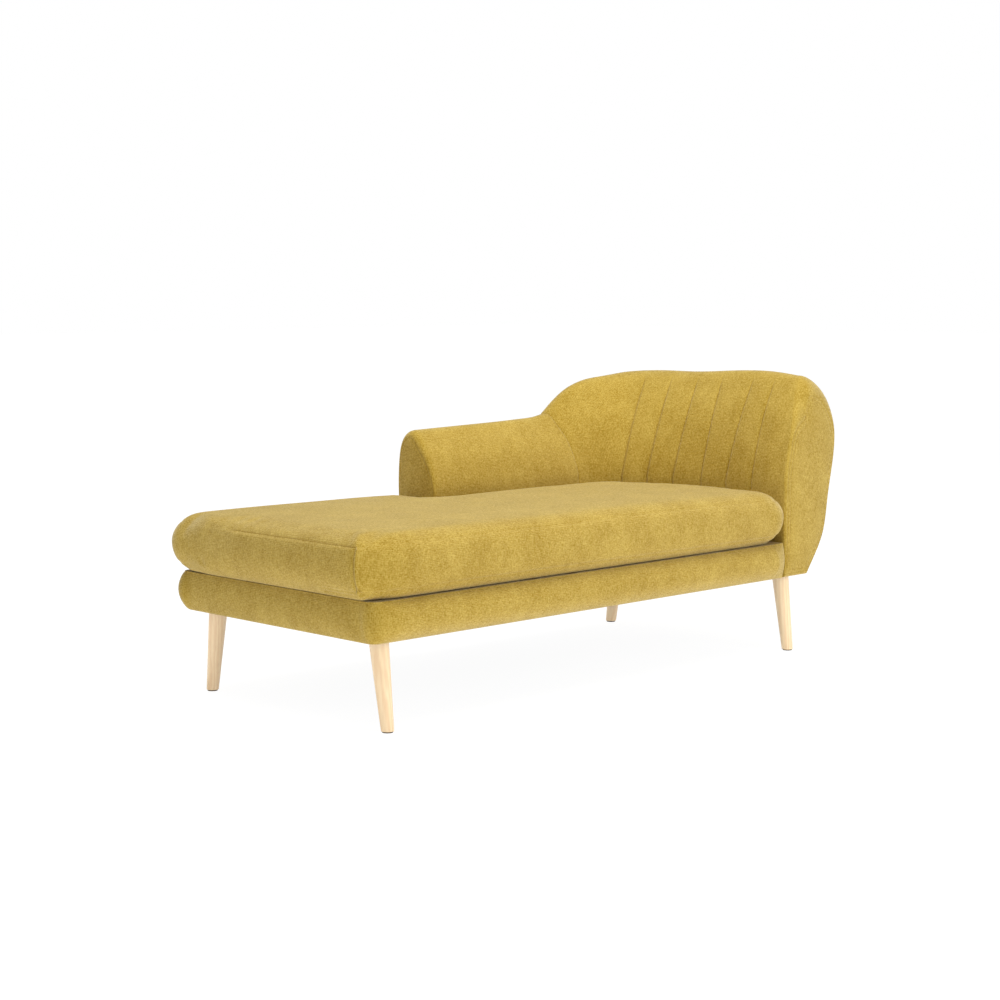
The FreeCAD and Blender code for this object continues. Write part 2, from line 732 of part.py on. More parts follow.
def back():
    stations = back_stations(0)
    under = under_shell(at.fit_gap)
    sill = at.sill_top
    cavity = board(at.post_deep, at.frame_top, at.shell_rail_top + at.fit_gap, at.fit_gap)
    cavity = cavity.fuse(board(at.back_sill_width, 0, sill + at.fit_gap, at.fit_gap))
    inset = at.cover_thick + at.foam_gap
    foam = shell(back_stations(inset), inset)
    keep(freeform("back_foam", foam.cut(under).cut(cavity)), "back_foam")
    keep(freeform("back_inside_cover", strip(stations, (0,)).cut(under)), "back_inside_cover")
    keep(freeform("back_outside_cover", strip(stations, (1,)).cut(under)), "back_outside_cover")
    end = end_panel(stations[-1], at.cover_thick, vec(0, -1, 0))
    keep(freeform("back_end_cover", end), "back_end_cover")

    head_x = "core_head - rail_thick / 2"
    spots = [(head_x, "core_half * %s" % share) for share in BACK_SCREW_SHARES]
    holes = sill_screws("back_screws", spots)
    drills = group("back_drills", holes)
    blank = freeform("back_sill_blank", board(at.back_sill_width, at.frame_top, sill))
    keep(cut("back_sill", blank, [drills]), "back_sill")
    top = at.shell_rail_top
    keep(freeform("back_top_rail", board(at.post_deep, top - at.board_thick, top)), "back_top_rail")
    high = "shell_rail_top - board_thick - sill_top"
    x = "shell_rail_out - post_deep + panel_thick"
    deep = "post_deep - panel_thick"
    for name, y in (("front", "-front_face + rail_thick"), ("middle", "-post_wide * 1.5"),
                    ("corner", "shell_rail_side - shell_rail_radius - post_wide")):
        keep(box("back_post_" + name, x, y, "sill_top", deep, "post_wide", high), "back_post_" + name)
    keep(box("back_post_arm", "shell_rail_end", "shell_rail_side - post_deep + panel_thick", "sill_top",
             "post_wide", deep, high), "back_post_arm")
    panel = board(at.post_deep, sill, top - at.board_thick)
    panel = panel.cut(board(at.post_deep - at.panel_thick, 0, top))
    keep(freeform("back_panel", panel), "back_panel")
    return [drills]


def arm():
    stations = arm_stations(0)
    under = under_shell(at.fit_gap)
    gap = at.fit_gap
    frame_room = plain_box((at.arm_frame_foot - gap, at.arm_frame_inner - at.panel_thick - gap, 0),
                           (at.arm_frame_head + gap, at.core_half + at.panel_thick + gap,
                            at.arm_frame_top + gap))
    inset = at.cover_thick + at.foam_gap
    foam = shell(arm_stations(inset), inset)
    keep(freeform("arm_foam", foam.cut(under).cut(frame_room)), "arm_foam")
    keep(freeform("arm_cover", strip(stations, (0, 1)).cut(under)), "arm_cover")
    panel = end_panel(stations[0], at.cover_thick, vec(-1, 0, 0)).cut(under)
    keep(freeform("arm_end_cover", panel), "arm_end_cover")

    y = "core_half - rail_thick / 2"
    spots = [("arm_foot + arm_length * %s" % share, y) for share in ARM_SCREW_SHARES]
    holes = sill_screws("arm_screws", spots)
    drills = group("arm_drills", holes)
    wide = "arm_frame_wide"
    long = "arm_frame_head - arm_frame_foot"
    start = "arm_frame_foot"
    sill = box("arm_sill_blank", start, "arm_frame_inner", "frame_top", long, wide, "board_thick")
    keep(cut("arm_sill", sill, [drills]), "arm_sill")
    post_high = "arm_frame_top - board_thick - sill_top"
    keep(box("arm_post_foot", start, "arm_frame_inner", "sill_top", "post_wide", wide, post_high),
         "arm_post_foot")
    keep(box("arm_post_head", "arm_frame_head - post_wide", "arm_frame_inner", "sill_top",
             "post_wide", wide, post_high),
         "arm_post_head")
    keep(box("arm_top_rail", start, "arm_frame_inner", "arm_frame_top - board_thick",
             long, wide, "board_thick"),
         "arm_top_rail")
    for name, y in (("arm_inner_panel", "arm_frame_inner - panel_thick"), ("arm_outer_panel", "core_half")):
        keep(box(name, start, y, "frame_top", long, "panel_thick", "arm_frame_top - frame_top"), name)
    return [drills]


# Loose seat cushion

def cushion_outline(inset):
    """Plan of the cushion: full width at the foot, notched beside the arm, rounded into the back."""
    gap = at.cushion_gap + inset
    foot, head = at.cushion_foot + inset, at.back_face - gap
    half, rear = at.cushion_half_width - inset, at.cushion_rear - inset
    notch_x, notch_y = at.arm_foot - gap, at.arm_inner - gap
    round_out, round_in = at.cushion_corner - inset, at.cushion_notch_round + inset
    slant = 1 - math.sqrt(0.5)

    def corner(x, y, way_in, way_out, radius):
        """An arc that replaces the corner x, y, arriving along way_in and leaving along way_out."""
        a = vec(x, y, 0) - vec(*way_in, 0) * radius
        b = vec(x, y, 0) + vec(*way_out, 0) * radius
        middle = vec(x, y, 0) + (vec(*way_out, 0) - vec(*way_in, 0)) * radius * slant
        return Part.Arc(a, middle, b).toShape()
    half_turn = at.tub_turn / 2
    sweep_middle = (at.tub_turn + 90) / 2
    curves = [
        corner(foot, -half, (0, -1), (1, 0), round_out),
        corner(head, -half, (1, 0), (0, 1), round_out),
        Part.Arc(tub_point(90, -gap), tub_point(sweep_middle, -gap),
                 tub_point(at.tub_turn, -gap)).toShape(),
        Part.Arc(tub_point(at.tub_turn, -gap), tub_point(half_turn, -gap), tub_point(0, -gap)).toShape(),
        corner(notch_x, notch_y, (-1, 0), (0, 1), round_in),
        corner(notch_x, rear, (0, 1), (-1, 0), round_out),
        corner(foot, rear, (-1, 0), (0, -1), round_out),
    ]
    return joined(curves)


def cushion_body(inset):
    """The cushion's solid with rounded top and bottom edges, moved in by inset all over."""
    wire = cushion_outline(inset)
    wire.translate(vec(0, 0, at.cushion_bottom + inset))
    high = at.cushion_thick - 2 * inset
    block = Part.Face(wire).extrude(vec(0, 0, high))
    edges = [e for e in block.Edges if abs(e.Vertexes[0].Z - e.Vertexes[-1].Z) < TINY]
    return block.makeFillet(at.cushion_edge_round - inset, edges)


def cushion():
    cloth, gap = at.sheet_thick, at.fit_gap
    wadding = cloth + gap
    foam = wadding + at.wadding_thick + gap
    keep(freeform("cushion_cover", cushion_body(0).cut(cushion_body(cloth))), "cushion_cover")
    layer = cushion_body(wadding).cut(cushion_body(wadding + at.wadding_thick))
    keep(freeform("cushion_wadding", layer), "cushion_wadding")
    keep(freeform("cushion_foam", cushion_body(foam)), "cushion_foam")


def zip_fastener():
    """A zip along the middle of the cushion's rear side, and its flat slider at the closed end."""
    start = "cushion_foot + zip_from_foot"
    middle = "cushion_bottom + cushion_thick / 2"
    tape = box("zip_tape_flat", start, "cushion_rear", middle + " - zip_wide / 2",
               "zip_length", "zip_thick", "zip_wide")
    coil = rod("zip_coil", "zip_coil_radius", "zip_length", start, "cushion_rear + zip_thick", middle, "x")
    outer_half = box("zip_half", start, "cushion_rear + zip_thick / 2", middle + " - zip_wide / 2",
                     "zip_length", "zip_wide", "zip_wide")
    whole = doc.addObject("Part::Fuse", "zip_tape")
    whole.Base, whole.Tool = tape, common("zip_coil_half", coil, outer_half)
    keep(whole, "zip_tape")
    end = "cushion_foot + zip_from_foot + zip_length - slider_home"
    body = box("slider_blank", end, "cushion_rear + zip_thick + fit_gap", middle + " - slider_wide / 2",
               "slider_long", "slider_thick", "slider_wide")
    channel = rod("slider_channel", "zip_coil_radius + fit_gap", "slider_cut", end + " - slider_long",
                  "cushion_rear + zip_thick", middle, "x")
    keep(cut("zip_slider", body, [channel]), "zip_slider")


def check_and_write():
    doc.recompute()
    for thing in doc.Objects:
        bad = [word for word in thing.State if word in ("Invalid", "Error")]
        if bad:
            raise RuntimeError("%s is %s" % (thing.Name, bad))
    bad = [t.Label for t in nodes if t.Shape.isNull() or not t.Shape.isValid() or not t.Shape.Solids]
    if bad:
        raise RuntimeError("no valid shape: %s" % bad)
    os.makedirs("parts", exist_ok=True)
    for thing in nodes:
        thing.Shape.exportStep("parts/%s.step" % thing.Label)
        print("%-22s %2d %12.0f" % (thing.Label, len(thing.Shape.Solids), thing.Shape.Volume))


back_drills = back()
arm_drills = arm()
base_frame(arm_drills, back_drills)
legs()
springs()
deck()
base_skin()
cushion()
zip_fastener()
check_and_write()
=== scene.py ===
import json
import math

import bmesh
import bpy
import numpy as np
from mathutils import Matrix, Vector
from mathutils.bvhtree import BVHTree


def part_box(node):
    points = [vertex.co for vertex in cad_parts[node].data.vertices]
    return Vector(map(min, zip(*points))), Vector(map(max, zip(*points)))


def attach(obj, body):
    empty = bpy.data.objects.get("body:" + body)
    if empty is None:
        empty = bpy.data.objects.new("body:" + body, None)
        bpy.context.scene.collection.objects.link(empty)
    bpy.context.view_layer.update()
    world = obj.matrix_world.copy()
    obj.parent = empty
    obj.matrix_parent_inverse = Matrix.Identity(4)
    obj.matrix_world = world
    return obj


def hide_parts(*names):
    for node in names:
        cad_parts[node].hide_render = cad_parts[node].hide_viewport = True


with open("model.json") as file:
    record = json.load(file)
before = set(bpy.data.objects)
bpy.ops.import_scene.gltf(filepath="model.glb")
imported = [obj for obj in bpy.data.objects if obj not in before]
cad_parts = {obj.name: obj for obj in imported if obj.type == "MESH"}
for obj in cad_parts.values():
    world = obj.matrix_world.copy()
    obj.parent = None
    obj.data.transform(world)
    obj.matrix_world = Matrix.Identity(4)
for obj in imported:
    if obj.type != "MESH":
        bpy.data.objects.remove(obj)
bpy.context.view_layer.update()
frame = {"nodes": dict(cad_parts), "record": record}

# A chaise longue with one arm and a curved, channelled back. Lengths are metres.
# X runs from the foot end to the back, Y from the open front side to the arm side, Z is up.

MM = 0.001
TINY = 1e-9


def low(node):
    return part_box(node)[0]


def high(node):
    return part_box(node)[1]


# Places read from the frame
FLOOR_GAP = low("back_outside_cover").z
DECK_TOP = high("deck_cloth").z
RAIL_TOP = high("front_rail").z
CORE_FOOT, CORE_HEAD = low("foot_rail").x, high("head_rail").x
CORE_HALF = high("rear_rail").y
RAIL_INSET = 14 * MM
BASE_FOOT, BASE_HEAD, BASE_HALF = CORE_FOOT - RAIL_INSET, CORE_HEAD + RAIL_INSET, CORE_HALF + RAIL_INSET
SEAT_END = high("base_cover_front").x
BACK_FACE = SEAT_END + 8 * MM
BACK_OUT = high("back_end_cover").x
BACK_TOP = high("back_outside_cover").z
REAR_FACE = BASE_HALF + 11 * MM
FRONT_FACE = BASE_HALF + 2 * MM
ARM_INNER = REAR_FACE - 142 * MM
ARM_FOOT = low("arm_end_cover").x
SEAM_SKEW = 36 * MM
TUB_CORNER, TUB_SWEEP, TUB_TURN = 133 * MM, 713 * MM, 60
SHELL_CORNER = 200 * MM
SEAM_X = (BACK_FACE - TUB_CORNER * math.sin(math.radians(TUB_TURN))
          - TUB_SWEEP * (1 - math.sin(math.radians(TUB_TURN))))
CUSHION_LOW, CUSHION_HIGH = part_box("cushion_cover")
ZIP_LOW, ZIP_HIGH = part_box("zip_tape")
SLIDER_LOW, SLIDER_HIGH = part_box("zip_slider")
LEAN_START = CUSHION_HIGH.z + 11 * MM
CUSHION_MIDDLE = (CUSHION_LOW.z + CUSHION_HIGH.z) / 2
FEET_MIDDLE = (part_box("leg_glides")[0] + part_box("leg_glides")[1]) / 2
SKIN_GAP = 0.5 * MM

scene = bpy.context.scene


# Mesh helpers

SHARP_ANGLE = 48
MERGE = 0.01 * MM


def add_mesh(name, points, faces, material, smooth=True):
    """A new mesh object with one material."""
    mesh = bpy.data.meshes.new(name)
    mesh.from_pydata([tuple(p) for p in points], [], [tuple(f) for f in faces])
    mesh.update()
    mesh.validate()
    bm = bmesh.new()
    bm.from_mesh(mesh)
    bmesh.ops.remove_doubles(bm, verts=bm.verts, dist=MERGE)
    bmesh.ops.recalc_face_normals(bm, faces=bm.faces)
    bm.to_mesh(mesh)
    bm.free()
    mesh.polygons.foreach_set("use_smooth", [smooth] * len(mesh.polygons))
    mesh.set_sharp_from_angle(angle=math.radians(SHARP_ANGLE))
    thing = bpy.data.objects.new(name, mesh)
    scene.collection.objects.link(thing)
    mesh.materials.append(material)
    return thing


def grid_faces(rows, columns, wrap=True, start=0):
    """Quads between neighbouring rows of a grid. Wrap joins the last column to the first."""
    last = columns if wrap else columns - 1
    return [(start + i * columns + j, start + i * columns + (j + 1) % columns,
             start + (i + 1) * columns + (j + 1) % columns, start + (i + 1) * columns + j)
            for i in range(rows - 1) for j in range(last)]


def natural_spline(knots, values, where):
    """Values at the given places of the smooth curve through the values at the knots."""
    knots, values = np.asarray(knots, float), np.asarray(values, float)
    count, step = len(knots), np.diff(knots)
    matrix, right = np.zeros((count, count)), np.zeros((count, values.shape[1]))
    matrix[0, 0] = matrix[-1, -1] = 1
    for i in range(1, count - 1):
        matrix[i, i - 1:i + 2] = step[i - 1], 2 * (step[i - 1] + step[i]), step[i]
        right[i] = 6 * ((values[i + 1] - values[i]) / step[i] - (values[i] - values[i - 1]) / step[i - 1])
    bend = np.linalg.solve(matrix, right)
    i = np.clip(np.searchsorted(knots, where, side="right") - 1, 0, count - 2)
    h = step[i][:, None]
    a = ((knots[i + 1] - where)[:, None]) / h
    b = 1 - a
    return (a * values[i] + b * values[i + 1]
            + ((a ** 3 - a) * bend[i] + (b ** 3 - b) * bend[i + 1]) * h * h / 6)


def along(points):
    """Distance along a line of points, from its start."""
    steps = np.linalg.norm(np.diff(points, axis=0), axis=1)
    return np.concatenate([[0], np.cumsum(steps)])


def softened(values, width):
    """Values along a line with their kinks rounded over the given number of steps."""
    before = 2 * values[:1] - values[width:0:-1]
    after = 2 * values[-1:] - values[-2:-width - 2:-1]
    padded = np.concatenate([before, values, after])
    weights = np.hanning(2 * width + 3)[1:-1]
    weights /= weights.sum()
    eased = [np.convolve(padded[:, k], weights, mode="valid") for k in range(values.shape[1])]
    return np.stack(eased, axis=1)


def grid_normals(points):
    """Unit normals of a grid of points."""
    down = np.gradient(points, axis=0)
    across = np.gradient(points, axis=1)
    normals = np.cross(down, across)
    return normals / np.maximum(np.linalg.norm(normals, axis=2, keepdims=True), 1e-12)


WAVES = 9
WAVE_RANGE = (0.7, 1.5)


def ripple(points, wavelength, seed):
    """A gentle, repeatable unevenness from -1 to 1 at each point."""
    rng = np.random.default_rng(seed)
    total = np.zeros(points.shape[:-1])
    for _ in range(WAVES):
        way = rng.normal(size=3)
        way /= np.linalg.norm(way)
        length = wavelength * rng.uniform(*WAVE_RANGE)
        shift = rng.uniform(0, 2 * np.pi)
        total += np.sin(points @ way * 2 * np.pi / length + shift)
    return total / WAVES


# Materials

def new_material(name):
    material = bpy.data.materials.new(name)
    material.use_nodes = True
    tree = material.node_tree
    return material, tree, tree.nodes["Principled BSDF"]


def node(tree, kind, **values):
    """A shader node with its settings and its unlinked inputs filled in."""
    made = tree.nodes.new(kind)
    for key, value in values.items():
        if key in made.inputs:
            made.inputs[key].default_value = value
        else:
            setattr(made, key, value)
    return made


def linked(tree, source, output, target, socket):
    tree.links.new(source.outputs[output], target.inputs[socket])
    return target


def maths(tree, operation, first, second=None):
    """A Math node. Each operand is a number or a (node, output) pair."""
    made = node(tree, "ShaderNodeMath", operation=operation)
    for index, value in enumerate((first, second)):
        if value is None:
            continue
        if isinstance(value, tuple):
            tree.links.new(value[0].outputs[value[1]], made.inputs[index])
        else:
            made.inputs[index].default_value = value
    return made


def weighted(tree, *terms):
    """The sum of (node, output, weight) terms."""
    total = None
    for source, output, weight in terms:
        term = maths(tree, "MULTIPLY", (source, output), weight)
        total = term if total is None else maths(tree, "ADD", (total, 0), (term, 0))
    return total


def rescaled(tree, source, before=(0.0, 1.0), after=(0.0, 1.0)):
    """A source's first output carried from one range to another."""
    made = node(tree, "ShaderNodeMapRange")
    for end, first, second in zip(("Min", "Max"), before, after):
        made.inputs["From " + end].default_value = first
        made.inputs["To " + end].default_value = second
    return linked(tree, source, 0, made, "Value")


def tinted(tree, shader, source, stops):
    """Colours the surface by a source's first output, through (position, colour) stops."""
    linked(tree, ramp(tree, source, 0, stops), "Color", shader, "Base Color")


def bumped(tree, shader, source, strength, distance):
    """Raises the surface by a source's first output."""
    bump = node(tree, "ShaderNodeBump", Strength=strength, Distance=distance)
    linked(tree, source, 0, bump, "Height")
    linked(tree, bump, "Normal", shader, "Normal")


def preset(shader, values):
    for name, value in values.items():
        shader.inputs[name].default_value = value


def noise(tree, coordinates, scale, detail=2.0, stretch=(1, 1, 1), roughness=0.5):
    mapping = node(tree, "ShaderNodeMapping", Scale=stretch)
    tree.links.new(coordinates, mapping.inputs["Vector"])
    made = node(tree, "ShaderNodeTexNoise", Scale=scale, Detail=detail, Roughness=roughness)
    return linked(tree, mapping, "Vector", made, "Vector")


def ramp(tree, source, output, stops):
    """A colour ramp through (position, colour) stops."""
    made = node(tree, "ShaderNodeValToRGB")
    elements = made.color_ramp.elements
    while len(elements) < len(stops):
        elements.new(0.5)
    for element, (position, colour) in zip(elements, stops):
        element.position = position
        element.color = (*colour, 1)
    tree.links.new(source.outputs[output], made.inputs["Fac"])
    return made


def linear(red, green, blue):
    """A colour given in screen values from 0 to 255, as linear light."""
    return tuple(((c / 255 + 0.055) / 1.055) ** 2.4 if c > 10.3 else c / 3294.6 for c in (red, green, blue))


def thread_weave(tree, coordinates, pitch):
    """Height of a plain weave whose threads run along the axes that lie in the surface."""
    warp = noise(tree, coordinates, scale=90, detail=1.0)
    moved = node(tree, "ShaderNodeMix", data_type="VECTOR", Factor=0.0016)
    tree.links.new(coordinates, moved.inputs[4])
    tree.links.new(warp.outputs["Color"], moved.inputs[5])
    apart = node(tree, "ShaderNodeSeparateXYZ")
    tree.links.new(moved.outputs[1], apart.inputs[0])
    facing = node(tree, "ShaderNodeNewGeometry")
    normal = linked(tree, facing, "True Normal", node(tree, "ShaderNodeSeparateXYZ"), "Vector")
    total = None
    for axis in "XYZ":
        wave = maths(tree, "SINE", (maths(tree, "MULTIPLY", (apart, axis), 2 * math.pi / pitch), 0))
        square = maths(tree, "MULTIPLY", (normal, axis), (normal, axis))
        shown = maths(tree, "SUBTRACT", 1.0, (square, 0))
        term = maths(tree, "MULTIPLY", (wave, 0), (shown, 0))
        total = term if total is None else maths(tree, "ADD", (total, 0), (term, 0))
    return total


THREAD_PITCH = 3.6 * MM
TONE_SPREAD = 0.26


def chenille(name, dark, light, sheen, nap):
    """A soft upholstery weave: slubby threads, a brushed nap in patches and a pale sheen at its edges."""
    material, tree, shader = new_material(name)
    place = node(tree, "ShaderNodeTexCoord").outputs["Object"]
    patches = noise(tree, place, scale=11, detail=3.0)
    brushed = noise(tree, place, scale=42, detail=3.0, stretch=(1, 1, 0.35))
    upright = noise(tree, place, scale=360, stretch=(1, 1, 0.4), roughness=0.6)
    level = noise(tree, place, scale=360, stretch=(0.5, 0.5, 1.1), roughness=0.6)
    slub = maths(tree, "MULTIPLY", (maths(tree, "ADD", (upright, 0), (level, 0)), 0), 0.5)
    weave = thread_weave(tree, place, THREAD_PITCH)
    patch_share, brush_share, slub_share, weave_share = 0.62 * nap, 0.5 * nap, 1.4, 0.045
    tone = weighted(tree, (patches, 0, patch_share), (brushed, 0, brush_share),
                    (slub, 0, slub_share), (weave, 0, weave_share))
    middle = 0.5 * (patch_share + brush_share + slub_share)
    tones = rescaled(tree, tone, before=(middle - TONE_SPREAD, middle + TONE_SPREAD))
    tinted(tree, shader, tones, [(0.0, dark), (1.0, light)])
    height = weighted(tree, (weave, 0, 0.35), (slub, 0, 1.6))
    bumped(tree, shader, height, strength=0.55, distance=0.9 * MM)
    linked(tree, rescaled(tree, brushed, after=(0.78, 0.95)), 0, shader, "Roughness")
    fuzz = rescaled(tree, slub, before=(0.38, 0.62), after=(sheen * 0.72, sheen * 1.28))
    linked(tree, fuzz, 0, shader, "Sheen Weight")
    preset(shader, {"Specular IOR Level": 0.15, "Sheen Roughness": 0.45,
                    "Sheen Tint": (1.0, 0.95, 0.72, 1)})
    return material


def timber(name, pale, deep, grain, roughness=0.42, coat=0.25):
    """Wood with long growth figures along Z, fine pores and a thin lacquer."""
    material, tree, shader = new_material(name)
    place = node(tree, "ShaderNodeTexCoord").outputs["Object"]
    drift = noise(tree, place, scale=5, stretch=(1, 1, 0.25))
    moved = node(tree, "ShaderNodeMix", data_type="VECTOR", Factor=0.035)
    tree.links.new(place, moved.inputs[4])
    tree.links.new(drift.outputs["Color"], moved.inputs[5])
    squeezed = linked(tree, moved, 1, node(tree, "ShaderNodeMapping", Scale=(1, 1, 0.11)), "Vector")
    rings = node(tree, "ShaderNodeTexWave", wave_type="RINGS", rings_direction="Z",
                 Scale=38.0, Distortion=4.5, Detail=2.0)
    rings.inputs["Detail Scale"].default_value = 1.6
    linked(tree, squeezed, "Vector", rings, "Vector")
    pores = noise(tree, place, scale=420, stretch=(1, 1, 0.05), roughness=0.6)
    broad = noise(tree, place, scale=14, stretch=(1, 1, 0.2))
    tone = weighted(tree, (rings, 1, 0.38 * grain), (pores, 0, 0.55 * grain), (broad, 0, 0.5))
    tinted(tree, shader, rescaled(tree, tone, before=(0.35, 0.95)), [(0.0, pale), (1.0, deep)])
    bumped(tree, shader, pores, strength=0.12, distance=0.3 * MM)
    preset(shader, {"Roughness": roughness, "Coat Weight": coat, "Coat Roughness": 0.3})
    return material


def plain_weave(name, dark, light, scale, roughness=0.9, sheen=0.1):
    """A simple cloth, felt or foam with fine two-tone fibres."""
    material, tree, shader = new_material(name)
    place = node(tree, "ShaderNodeTexCoord").outputs["Object"]
    fibres = noise(tree, place, scale, detail=3.0, roughness=0.65)
    clouds = noise(tree, place, scale=16)
    tone = weighted(tree, (fibres, 0, 0.7), (clouds, 0, 0.3))
    tinted(tree, shader, tone, [(0.35, dark), (0.65, light)])
    bumped(tree, shader, fibres, strength=0.4, distance=0.4 * MM)
    preset(shader, {"Roughness": roughness, "Sheen Weight": sheen})
    return material


def metal(name, colour, roughness, metallic=1.0):
    """Drawn, plated, painted or moulded smooth stuff with faint marks."""
    material, tree, shader = new_material(name)
    place = node(tree, "ShaderNodeTexCoord").outputs["Object"]
    marks = noise(tree, place, scale=180, detail=3.0)
    shade = tuple(c * 0.82 for c in colour)
    tinted(tree, shader, marks, [(0.3, shade), (0.7, colour)])
    rough = rescaled(tree, marks, after=(roughness * 0.8, roughness * 1.3))
    linked(tree, rough, 0, shader, "Roughness")
    shader.inputs["Metallic"].default_value = metallic
    return material


cover = chenille("cover_chenille", linear(147, 116, 20), linear(195, 167, 80), sheen=0.42, nap=0.5)
thread = plain_weave("sewing_thread", linear(138, 104, 30), linear(176, 142, 60), 1500)
deep_thread = plain_weave("seam_thread", linear(140, 108, 26), linear(168, 134, 46), 1500)
zip_cloth = plain_weave("zip_cloth", linear(130, 98, 24), linear(165, 130, 50), 900)
zip_coil = plain_weave("zip_coil", linear(120, 92, 26), linear(150, 118, 44), 1500, 0.5, 0.0)

SLOT_MATERIALS = {
    "beech": timber("beech", linear(252, 226, 184), linear(232, 194, 150), 0.7),
    "pine": timber("sawn_pine", linear(228, 196, 142), linear(192, 150, 94), 0.8, 0.7, 0.0),
    "fibreboard": plain_weave("hardboard", linear(120, 88, 56), linear(156, 118, 78), 260),
    "cover_cloth": cover,
    "foam": plain_weave("foam", linear(226, 217, 180), linear(244, 238, 208), 700),
    "wadding": plain_weave("wadding", linear(228, 228, 226), linear(247, 247, 246), 200),
    "deck_cloth": plain_weave("deck_lining", linear(150, 120, 48), linear(178, 146, 70), 650),
    "felt": plain_weave("needled_felt", linear(88, 86, 84), linear(136, 134, 130), 180),
    "dust_cloth": plain_weave("spunbonded", linear(22, 22, 23), linear(44, 44, 46), 600),
    "spring_steel": metal("spring_wire", linear(150, 150, 152), 0.35),
    "plated_steel": metal("zinc_plate", linear(190, 190, 192), 0.3),
    "clip_plastic": metal("moulded_clip", linear(34, 34, 35), 0.5, 0.0),
    "glide_plastic": metal("moulded_glide", linear(60, 50, 42), 0.5, 0.0),
    "zip_cloth": zip_cloth,
    "zip_metal": metal("painted_slider", linear(150, 118, 46), 0.35, 0.6),
}
for row in frame["record"]["subparts"]:
    for held in frame["nodes"][row["node"]].material_slots:
        held.material = SLOT_MATERIALS[row["material_slot"]]


def settle(piece, body, nodes=()):
    """Rides a finished piece on its body and hides the frame parts it replaces."""
    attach(piece, body)
    if nodes:
        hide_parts(*nodes)
    return piece


# The shell's sections, shared by arm and back

def tub_point(angle, inset=0):
    """A plan point on the seat side of arm and back. Angle 0 is the arm's face and 90 the back's."""
    turn = math.radians(TUB_TURN)
    radius, x, y = TUB_CORNER, SEAM_X, ARM_INNER - TUB_CORNER
    if angle > TUB_TURN:
        shift = TUB_CORNER - TUB_SWEEP
        radius, x, y = TUB_SWEEP, x + shift * math.sin(turn), y + shift * math.cos(turn)
    a = math.radians(angle)
    return [x + (radius + inset) * math.sin(a), y + (radius + inset) * math.cos(a)]


def shell_point(angle, slide):
    """A plan point on the outside. Slide runs back towards the arm, or on towards the front end."""
    a = math.radians(angle)
    return [BACK_OUT - SHELL_CORNER + SHELL_CORNER * math.sin(a) - slide * math.cos(a),
            REAR_FACE - SHELL_CORNER + SHELL_CORNER * math.cos(a) - slide * math.sin(a)]


INNER_SIDE = ((0, 0), (0.12, 0.30), (0.38, 0.62), (0.70, 0.86), (1, 1))
OUTER_SIDE = ((0.50, 0.95), (0.83, 0.79), (0.97, 0.58), (1, 0.40))
LOWER_OUTSIDE = ((0.22, 0.842), (0.41, 0.415), (0.74, 0.162), (1, 0))
LOWER_INSIDE = (0, 0.4, 0.72, 0.9)
UP_COLUMNS, DOWN_COLUMNS = 96, 84


def section(inner, outer, ridge, share):
    """One upright section's points, up the seat side, over the ridge and down the outside."""
    inner, outer = np.asarray(inner), np.asarray(outer)
    reach = [(BASE_HEAD - inner[0]) / max(outer[0] - inner[0], TINY),
             (BASE_HALF - inner[1]) / max(outer[1] - inner[1], TINY)]
    lean = 1 - min(reach)
    height, rise = LEAN_START - FLOOR_GAP, ridge - LEAN_START
    up = [(0, FLOOR_GAP + height * b) for b in LOWER_INSIDE]
    up += [(share * a, LEAN_START + rise * b) for a, b in INNER_SIDE]
    down = [(share + (1 - share) * a, LEAN_START + rise * b) for a, b in OUTER_SIDE]
    down += [(1 - a * lean, FLOOR_GAP + height * b) for a, b in LOWER_OUTSIDE]
    points = np.array(up + down, float)
    width = np.linalg.norm(outer - inner)
    flat = points * (width, 1)
    knots = along(flat)
    top = knots[len(up) - 1]
    where = np.concatenate([np.linspace(0, top, UP_COLUMNS),
                            np.linspace(top, knots[-1], DOWN_COLUMNS + 1)[1:]])
    curve = natural_spline(knots, flat, where)
    across = (outer - inner) / width
    return np.column_stack([inner[0] + across[0] * curve[:, 0],
                            inner[1] + across[1] * curve[:, 0], curve[:, 1]])


NEARLY_OUT = 0.98


def rail_share(inner, outer):
    """Where a section's plan line passes out of the rails' box."""
    reach = [(CORE_HEAD + SKIN_GAP - inner[0]) / max(outer[0] - inner[0], TINY),
             (CORE_HALF + SKIN_GAP - inner[1]) / max(outer[1] - inner[1], TINY)]
    return min(max(min(reach), 0.0), NEARLY_OUT)


# Points across the outside's foot, up the rail's side and back over the rail.
CLOSE_STEPS = (6, 8, 24)


def between(start, end, steps):
    """Evenly spaced points from just after the start up to, but without, the end."""
    return [start + (end - start) * k / steps for k in range(1, steps)]


def closing(rows, stations, full):
    """Adds to each section the points that close it: round the rails' box, or straight under it."""
    closed = []
    outside, upward, inside = CLOSE_STEPS
    for points, (inner, outer, _, _) in zip(rows, stations):
        inner, outer = np.asarray(inner), np.asarray(outer)
        ledge = RAIL_TOP + SKIN_GAP
        side = inner + (outer - inner) * rail_share(inner, outer)
        points = points.copy()
        if not full:
            seat = points[:UP_COLUMNS]
            seat[:, 2] = np.maximum(seat[:, 2], ledge)
        start, end = points[-1], points[0]
        if full:
            path = between(start, end, outside + upward + inside)
        else:
            foot, step = np.array([*side, start[2]]), np.array([*side, ledge])
            path = (between(start, foot, outside) + [foot] + between(foot, step, upward) + [step]
                    + between(step, end, inside))
        closed.append(np.vstack([points, path]))
    return np.array(closed)


